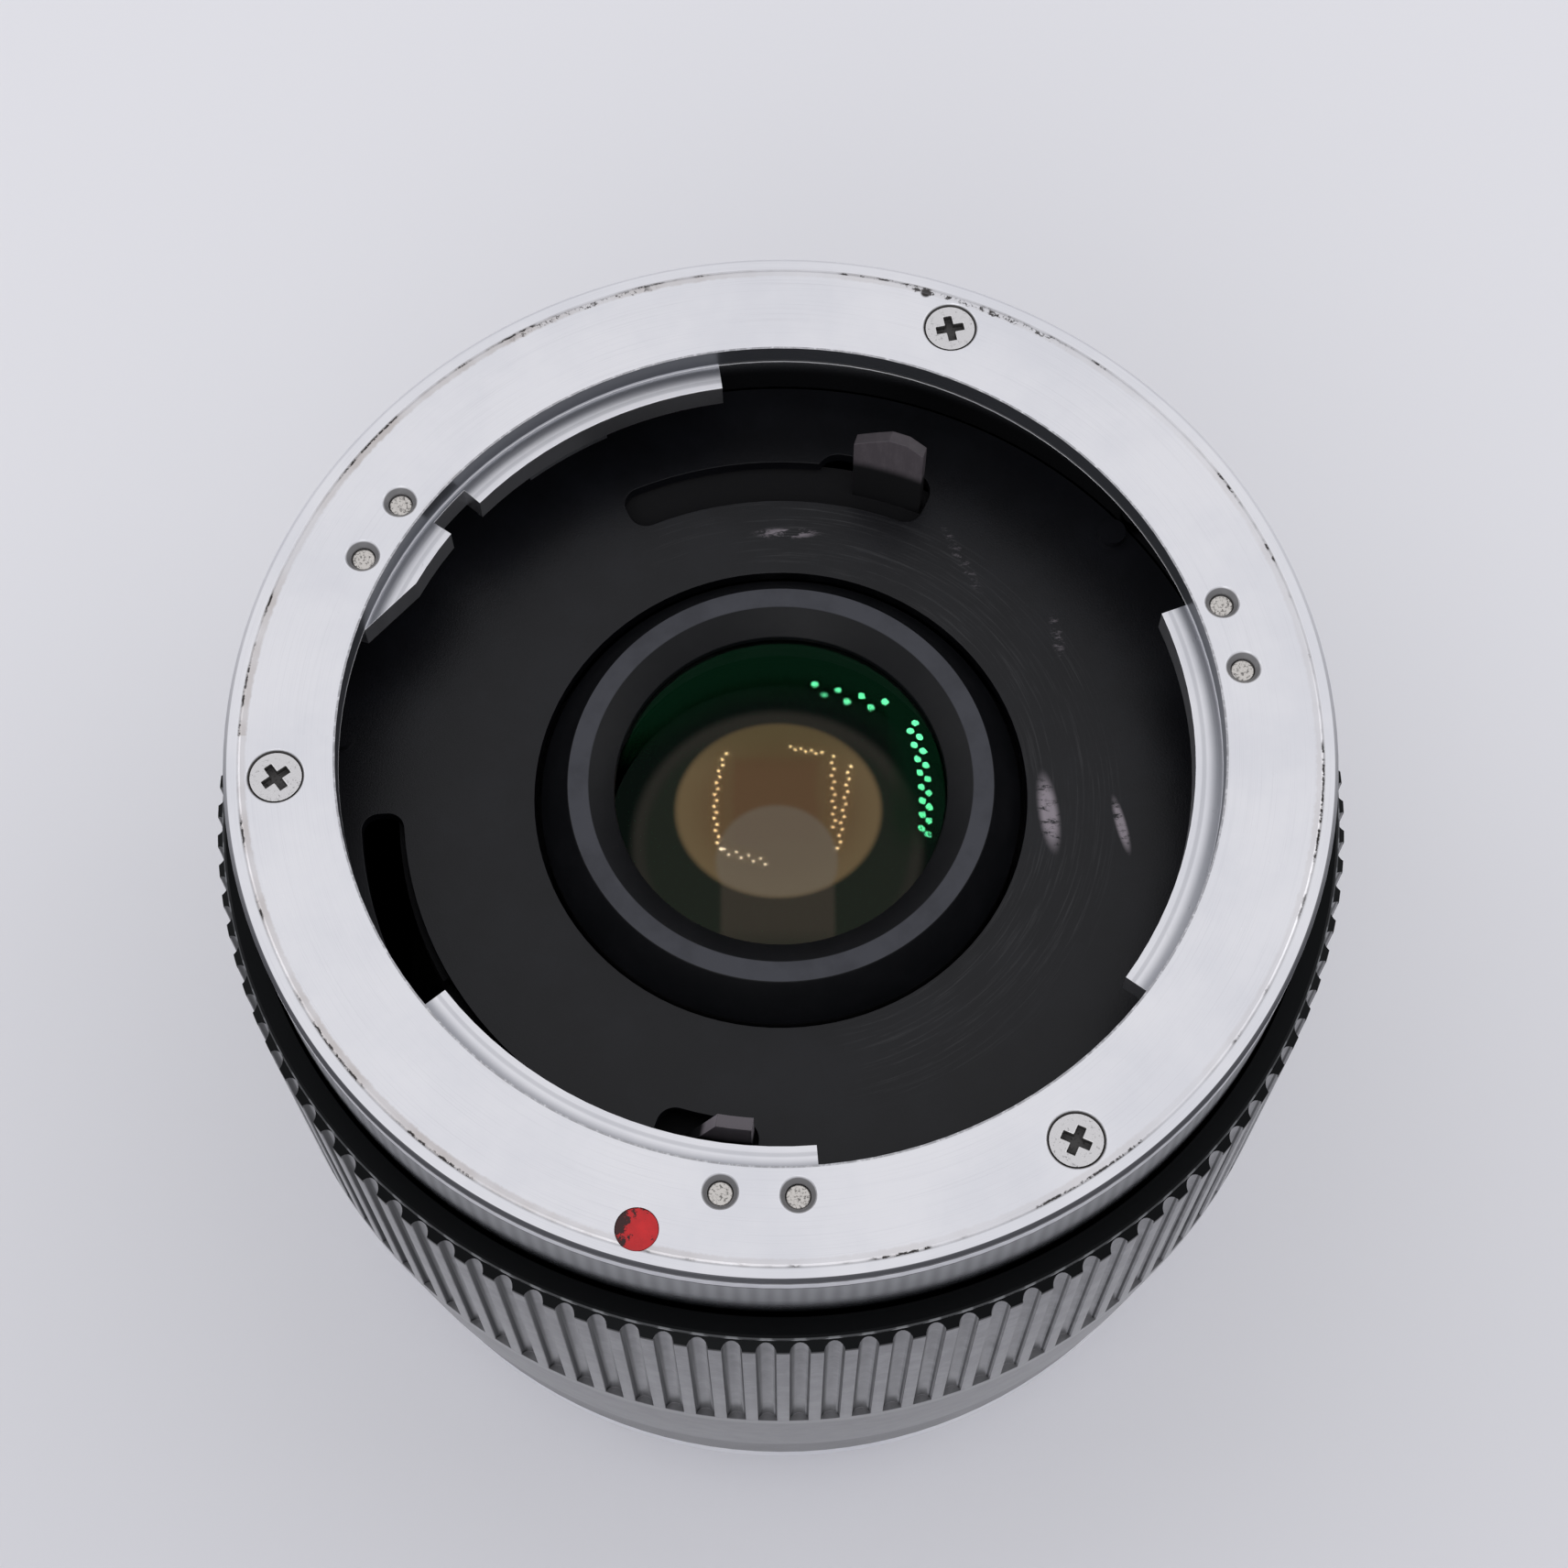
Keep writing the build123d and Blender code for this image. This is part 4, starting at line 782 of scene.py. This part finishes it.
# %% Glass elements
def glass_profile(node, rows=20):
    """Both faces of an element, each a cap of a sphere."""
    points = [v.co / MM for v in frame["nodes"][node].data.vertices]
    radius = max(math.hypot(p.x, p.y) for p in points)
    rim = [p.z for p in points if math.hypot(p.x, p.y) > radius - 0.02]
    pole = [p.z for p in points if math.hypot(p.x, p.y) < 0.05]
    profile = []
    for pole_z, rim_z, order in ((max(pole), max(rim), 1), (min(pole), min(rim), -1)):
        sag = pole_z - rim_z
        curve = (radius ** 2 + sag ** 2) / (2 * abs(sag))
        face = []
        for k in range(rows + 1):
            r = radius * k / rows
            rise = math.sqrt(curve ** 2 - r * r) - (curve - abs(sag))
            face.append((r, rim_z + math.copysign(rise, sag)))
        profile += face[::order]
    return profile


for node, material in (("lens_1", front_glass), ("lens_2", amber_reflection_glass)):
    piece = stands_for(turned(node + "_glass", glass_profile(node), material, 128), node)
    print(piece.name, len(piece.data.polygons), "faces")

# %% The lens cell
cell_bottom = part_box("front_lens_cell")[0].z / MM
lip, flat_inner, flat_outer, cone_foot, sleeve, sleeve_bore = 9.25, 10.65, 11.8, 13.4, 11.9, 10.45
lip_z, flat_z, seat_z, cone_z = face_z - 7.4, face_z - 6.3, face_z - 7.95, face_z - 8.6
cell_profile = eased([
    (lip, lip_z), (flat_inner, flat_z), (flat_outer, flat_z), (cone_foot, cone_z + 0.02),
    (cone_foot, cone_z), (sleeve, cone_z), (sleeve, cell_bottom), (sleeve_bore, cell_bottom),
    (sleeve_bore, seat_z), (lip, seat_z)], 0.07)
print("cell", len(cell_profile), "points")

# %% [markdown]
# ## The fluted focus ring
# The ring has 110 half-round flutes cut by a ball-ended tool, so each flute ends in a dome at
# the bevel and in a flat step at the skirt. One pitch of the ring is modelled with its edges
# exactly where the tool leaves them, and Geometry Nodes turns it round the axis, joins the
# copies and gives them their finish. The rule is the real one: pitch times count is one turn.

# %% Geometry Nodes trees from tables
def node_tree(name, inputs, kinds, links, last):
    """A tree from its named inputs, nodes and links, with the finish laid on its last node."""
    tree = bpy.data.node_groups.new(name, "GeometryNodeTree")
    for title, kind in (("Geometry", "Geometry"), *inputs, ("Finish", "Material")):
        tree.interface.new_socket(title, in_out="INPUT", socket_type="NodeSocket" + kind)
    tree.interface.new_socket("Geometry", in_out="OUTPUT", socket_type="NodeSocketGeometry")
    kinds = {"source": "NodeGroupInput", **kinds, "paint": "GeometryNodeSetMaterial",
             "result": "NodeGroupOutput"}
    nodes = {key: tree.nodes.new(kind) for key, kind in kinds.items()}
    for start, output, end, target in (
            *links, (last, 0, "paint", "Geometry"), ("source", "Finish", "paint", "Material"),
            ("paint", 0, "result", 0)):
        tree.links.new(nodes[start].outputs[output], nodes[end].inputs[target])
    print("tree", name, "with", len(nodes), "nodes")
    return tree, nodes


def run_tree(piece, tree, values):
    """Set a tree's inputs by socket identifier, evaluate it and keep the plain mesh."""
    modifier = piece.modifiers.new(tree.name, "NODES")
    modifier.node_group = tree
    for item in tree.interface.items_tree:
        if item.in_out == "INPUT" and item.name in values:
            modifier[item.identifier] = values[item.name]
    return apply_modifiers(piece)


around_axis, nodes = node_tree(
    "round_the_axis", (("Count", "Int"), ("Weld distance", "Float")),
    {"points": "GeometryNodePoints", "index": "GeometryNodeInputIndex",
     "share": "ShaderNodeMath", "turn": "ShaderNodeMath", "spin": "ShaderNodeCombineXYZ",
     "place": "GeometryNodeInstanceOnPoints", "solid": "GeometryNodeRealizeInstances",
     "weld": "GeometryNodeMergeByDistance"},
    (("source", "Count", "points", "Count"), ("index", 0, "share", 0),
     ("source", "Count", "share", 1), ("share", 0, "turn", 0), ("turn", 0, "spin", "Z"),
     ("points", 0, "place", "Points"), ("source", "Geometry", "place", "Instance"),
     ("spin", 0, "place", "Rotation"), ("place", 0, "solid", 0), ("solid", 0, "weld", "Geometry"),
     ("source", "Weld distance", "weld", "Distance")), "weld")
nodes["share"].operation, nodes["turn"].operation = "DIVIDE", "MULTIPLY"
nodes["turn"].inputs[1].default_value = math.tau

# %% One pitch of the ring
flute_radius, flute_depth = 0.56, 0.46
flute_centre = GRIP_RADIUS - flute_depth + flute_radius
ring_top, foot_z, foot_radius = ring_high.z / MM, ring_low.z / MM, 30.35
lip_radius, notch_radius, notch_z = 30.95, 30.45, ring_top - 0.6
neck_bore, thread_bore, land_bore = 29.75, 30.05, 29.0
neck_step, land_step = ring_top - 1.8, foot_z + 4.0
bevel_slope = (bevel_foot - notch_z) / (GRIP_RADIUS - notch_radius)
pitch = 360 / FLUTES


def flute_wall(offset_deg):
    """Radius of the flute's wall at an angle from the flute's middle, or the grip's radius."""
    turn = math.radians(offset_deg)
    side = flute_centre * math.sin(turn)
    if abs(side) >= flute_radius:
        return GRIP_RADIUS
    wall = flute_centre * math.cos(turn) - math.sqrt(flute_radius ** 2 - side ** 2)
    return min(GRIP_RADIUS, wall)


def one_pitch():
    """A strip one pitch wide, with a column of points at each edge of the flute."""
    half_width = math.sqrt(flute_radius ** 2 - (flute_radius - flute_depth) ** 2)
    edge = math.degrees(math.asin(half_width / flute_centre))
    inner = [edge * math.sin(math.radians(a)) for a in range(-90, 91, 18)]
    columns = [-pitch / 2, -edge - 0.06, *inner, edge + 0.06, pitch / 2]
    mesh = bpy.data.meshes.new("one_pitch")
    work = bmesh.new()
    grid = []
    for offset in columns:
        wall = flute_wall(offset)
        meet_z = notch_z + (wall - notch_radius) * bevel_slope
        lip_here = min(lip_radius, wall)
        down = [
            (neck_bore, neck_step), (neck_bore, ring_top - 0.06), (neck_bore + 0.06, ring_top),
            (lip_radius - 0.2, ring_top), (lip_here, ring_top - 0.2), (lip_here, ring_top - 0.4),
            (notch_radius, notch_z), (notch_radius + 0.05, notch_z - 0.04),
            (wall - 0.02, meet_z + 0.03), (wall, meet_z - 0.03), (wall, flute_foot + 0.02),
            (min(GRIP_RADIUS, wall + 0.02), flute_foot), (GRIP_RADIUS - 0.02, flute_foot),
            (GRIP_RADIUS, flute_foot - 0.03), (GRIP_RADIUS, skirt_top),
            (foot_radius + 0.03, foot_z + 0.1), (foot_radius - 0.05, foot_z),
            (land_bore, foot_z), (land_bore, land_step), (thread_bore, land_step),
            (thread_bore, neck_step), (neck_bore, neck_step)]
        grid.append([work.verts.new(polar(r, offset, z)) for r, z in down])
    for left, right in zip(grid, grid[1:]):
        for k in range(len(left) - 1):
            work.faces.new((left[k], right[k], right[k + 1], left[k + 1]))
    bmesh.ops.remove_doubles(work, verts=work.verts, dist=0.0008 * MM)
    work.to_mesh(mesh)
    work.free()
    return mesh


def smooth_piece(piece, degrees):
    """Shade a closed piece by angle and count the edges that are open."""
    work = bmesh.new()
    work.from_mesh(piece.data)
    bmesh.ops.recalc_face_normals(work, faces=work.faces)
    shade_by_angle(work, degrees)
    open_edges = sum(1 for edge in work.edges if len(edge.link_faces) != 2)
    work.to_mesh(piece.data)
    work.free()
    return open_edges


ring_piece = new_piece("focus_ring_fluted", one_pitch())
run_tree(ring_piece, around_axis,
         {"Count": FLUTES, "Weld distance": 0.0009 * MM, "Finish": grip_black})
open_edges = smooth_piece(ring_piece, 28)
stands_for(ring_piece, "focus_ring")
print("ring faces", len(ring_piece.data.polygons), "open edges", open_edges)

# %% The neck, the cell and the shell
barrel_low, barrel_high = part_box("front_barrel")
print("front barrel from", round(barrel_low.z / MM, 2), "to", round(barrel_high.z / MM, 2))
dress("front_barrel", neck_black, 0.04)
stands_for(turned("front_lens_cell_turned", cell_profile, cell_black, 192), "front_lens_cell")
dress("rear_barrel", satin_black)

# %% [markdown]
# ## Finishes for the pieces that stay as CAD
# Springs, spacers and screws deep inside are turned, stamped or bought parts whose CAD shape is
# already right. They keep it, and get the finish of what they would be made of: brass for what
# slides, spring steel for what bends, matt black for what the light passes.

# %% Finishes on CAD nodes
plain_nodes = (
    (screw_steel, "rear_mount_screws key_screws plate_screws"),
    (spring_steel, "mount_spring_1 mount_spring_2 mount_spring_3 focus_retainer"),
    (brass, "front_lever_hub rear_lever_hub guide_key lens_tube_nut"),
    (baffle_black, "baffle_screws"),
    (inner_black, "lens_plate lens_tube rear_lens_ring"),
    (inner_black, "lens_spacer_1 lens_spacer_2 lens_spacer_3 lens_spacer_4"),
    (deep_glass, "lens_3 lens_4 lens_5 lens_6 lens_7"))
for material, names in plain_nodes:
    for node in names.split():
        for place in frame["nodes"][node].material_slots:
            place.material = material
print("finished", sum(len(names.split()) for _, names in plain_nodes), "CAD nodes")

# %% [markdown]
# ## The lock's coil spring
# A small steel spring holds the lock pin down. In the CAD it is a plain sleeve; here it is wound
# as a coil, which Geometry Nodes do from a spiral and a round wire. When the button lifts the
# pin, the real coil shortens; here the lift is only read from that joint.

# %% A tree that winds a coil
wind_a_coil, nodes = node_tree(
    "wind_a_coil",
    (("Turns", "Float"), ("Coil radius", "Float"), ("Height", "Float"), ("Wire radius", "Float"),
     ("Foot", "Vector")),
    {"spiral": "GeometryNodeCurveSpiral", "wire": "GeometryNodeCurvePrimitiveCircle",
     "sweep": "GeometryNodeCurveToMesh", "shift": "GeometryNodeTransform",
     "solid": "GeometryNodeRealizeInstances"},
    (("source", "Turns", "spiral", "Rotations"), ("source", "Height", "spiral", "Height"),
     ("source", "Coil radius", "spiral", "Start Radius"),
     ("source", "Coil radius", "spiral", "End Radius"),
     ("source", "Wire radius", "wire", "Radius"), ("spiral", 0, "sweep", "Curve"),
     ("wire", 0, "sweep", "Profile Curve"), ("sweep", 0, "shift", "Geometry"),
     ("source", "Foot", "shift", "Translation"), ("shift", 0, "solid", 0)), "solid")
nodes["spiral"].inputs["Resolution"].default_value = 24
nodes["wire"].inputs["Resolution"].default_value = 10
nodes["sweep"].inputs["Fill Caps"].default_value = True

# %% The coil and the pin's lift
spring_low, spring_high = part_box("lock_spring")
wire_radius, spring_length = 0.16 * MM, spring_high.z - spring_low.z
middle = (spring_low + spring_high) / 2
coil = new_piece("lock_spring_coil", bpy.data.meshes.new("coil"))
run_tree(coil, wind_a_coil, {
    "Turns": 4.5, "Coil radius": (spring_high.x - spring_low.x) / 2 - wire_radius,
    "Height": spring_length - 2 * wire_radius, "Wire radius": wire_radius,
    "Foot": (middle.x, middle.y, spring_low.z + wire_radius), "Finish": spring_steel})
open_edges = smooth_piece(coil, 50)
stands_for(coil, "lock_spring")
pin_lift = next(j for j in frame["joints"] if j["name"] == "lock_lift")["range_m"][1]
1 - pin_lift / spring_length
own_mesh(coil)
print("coil", len(coil.data.polygons), "faces, open edges", open_edges, "lift", pin_lift / MM)

# %% [markdown]
# ## The table and its light
# The photograph was taken on a white table under a soft tent. A pale floor carries the shadow,
# and a painted falloff of light darkens it a little towards the camera. Most of the light is the
# tent's own glow; two soft lamps at the sides and one in front shape the chrome.

# %% Floor
TABLE_RADIUS = 3.0


def floor_finish():
    f = Finish("table_white")
    # a painted falloff of light, darker towards the camera
    light_falloff = (f.x * -0.15 - f.y).step(-30.0, 110.0)
    tint = light_falloff.blend((0.845, 0.845, 0.875), (0.725, 0.725, 0.76))
    return f.close(Base_Color=tint, Roughness=0.75, Specular_IOR_Level=0.2)


def floor_mesh():
    """A flat disc, so wide that its edge stays out of the picture."""
    mesh = bpy.data.meshes.new("table")
    work = bmesh.new()
    bmesh.ops.create_circle(work, cap_ends=True, segments=96, radius=TABLE_RADIUS)
    work.to_mesh(mesh)
    work.free()
    return mesh


table = new_piece("table", floor_mesh(), floor_finish())
print("table", 2 * TABLE_RADIUS, "m wide")

# %% Soft lamps
LAMP_SIZE, LAMP_AIM = 0.6, Vector((0, 0, 0.04))


def soft_lamp(name, place, power):
    data = bpy.data.lights.new(name, "AREA")
    data.shape, data.size, data.energy = "SQUARE", LAMP_SIZE, power
    lamp = bpy.data.objects.new(name, data)
    lamp.location = place
    lamp.rotation_euler = (LAMP_AIM - Vector(place)).to_track_quat("-Z", "Y").to_euler()
    bpy.context.scene.collection.objects.link(lamp)


soft_lamp("soft_left", (-0.85, 0.15, 0.55), 0.8)
soft_lamp("soft_right", (0.85, 0.15, 0.55), 0.8)
soft_lamp("soft_front", (-0.20, -0.85, 0.80), 1.2)
print("soft lamps", [lamp.name for lamp in bpy.data.lights])

# %% [markdown]
# ## Small lamps in rows
# The tent had strips of bare lamps beside its opening. Each one is a point of light: too weak to
# change the exposure, but a mirror as small as a lens face shows it as a bright dot. Light
# linking lets each row light one glass alone, so the rows leave no glare on the chrome.

# %% Rows of small lamps
ROW_DISTANCE = 0.6


def lit_only(node):
    """A collection of one glass alone: the lamps linked to it light nothing else."""
    group = bpy.data.collections.new(node + "_lit_by_strips")
    group.objects.link(bpy.data.objects[node + "_glass"])
    return group


def lamp_row(name, lit, start, end, count, size, bright, zigzag, bow=0.0):
    """Lamps at one distance between two directions, given as x and y of a unit vector."""
    data = bpy.data.lights.new(name, "POINT")
    data.shadow_soft_size = size
    data.energy = bright * 4 * (math.pi * size) ** 2
    one, two = Vector(start), Vector(end)
    side = (two - one).orthogonal().normalized()
    for k in range(count):
        t = k / (count - 1)
        at = one.lerp(two, t) + side * (zigzag * (-1) ** k + bow * 4 * t * (1 - t))
        toward = Vector((at.x, at.y, math.sqrt(1 - at.length_squared)))
        lamp = bpy.data.objects.new(f"{name}_{k}", data)
        lamp.location = toward * ROW_DISTANCE + Vector((0, 0, front_face))
        lamp.light_linking.receiver_collection = lit
        bpy.context.scene.collection.objects.link(lamp)


front, amber = lit_only("lens_1"), lit_only("lens_2")
for row in (
        ("strip_top", front, (0.075, 0.625), (0.235, 0.585), 7, 0.0052, 110.0, 0.010),
        ("strip_side", front, (0.300, 0.545), (0.345, 0.270), 17, 0.0052, 110.0, 0.008, 0.015),
        ("strip_left", amber, (0.046, 0.322), (0.049, 0.412), 17, 0.0007, 14.0, 0.001, -0.006),
        ("strip_right", amber, (-0.043, 0.325), (-0.043, 0.392), 12, 0.0007, 12.0, 0.001),
        ("strip_right_outer", amber, (-0.057, 0.335), (-0.046, 0.412), 14, 0.0007, 12.0, 0.001),
        ("strip_head", amber, (-0.008, 0.316), (-0.034, 0.322), 7, 0.0007, 12.0, 0.001),
        ("strip_foot", amber, (0.046, 0.414), (0.012, 0.424), 8, 0.0006, 10.0, 0.002)):
    lamp_row(*row)

# %% The tent's own glow
world = bpy.data.worlds.new("tent")
bpy.context.scene.world = world
world.use_nodes = True
world.node_tree.nodes.clear()
sky = Wire(world.node_tree)
direction = sky.make("ShaderNodeTexCoord", take="Generated")
height = sky.make("ShaderNodeSeparateXYZ", None, {0: direction}).out("Z")
shade = height.step(-0.1, 0.75).blend((0.60, 0.60, 0.62), (0.79, 0.79, 0.82))
glow = sky.make("ShaderNodeBackground", None, {"Color": shade, "Strength": 1.0})
sky.make("ShaderNodeOutputWorld", None, {"Surface": glow})
print("glow with", len(world.node_tree.nodes), "nodes")

# %% [markdown]
# ## The camera
# The photograph looks down at 66 degrees from just in front. Position, tilt and lens were
# worked out from the ellipses of the bayonet, so the flange falls on the same pixels.

# %% Camera
tilt, roll, shift_x, shift_y = 1.154923, -0.0039146, 0.00104391, -0.0167689
distance, focal_length, sensor_width = 160.29155, 69.02, 36.0
back = Vector((0, -math.cos(tilt), math.sin(tilt)))
right = Vector((1, 0, 0))
up = back.cross(right)
forward = (-back + math.tan(shift_x) * right + math.tan(shift_y) * up).normalized()
right = forward.cross(up).normalized()
up = right.cross(forward)
rolled_right = right * math.cos(roll) + up * math.sin(roll)
rolled_up = up * math.cos(roll) - right * math.sin(roll)
lens_data = bpy.data.cameras.new("camera")
lens_data.lens, lens_data.sensor_width = focal_length, sensor_width
lens_data.clip_start = 0.005
camera = bpy.data.objects.new("camera", lens_data)
camera.location = Vector((0, 0, front_face)) + back * distance * MM
camera.rotation_euler = Matrix((rolled_right, rolled_up, -forward)).transposed().to_euler()
bpy.context.scene.collection.objects.link(camera)
bpy.context.scene.camera = camera
print("camera at", [round(c, 4) for c in camera.location])

# %% [markdown]
# ## Closing
# The view is Standard, so colours come out as they are written.

# %% The view transform
bpy.context.scene.view_settings.view_transform = "Standard"
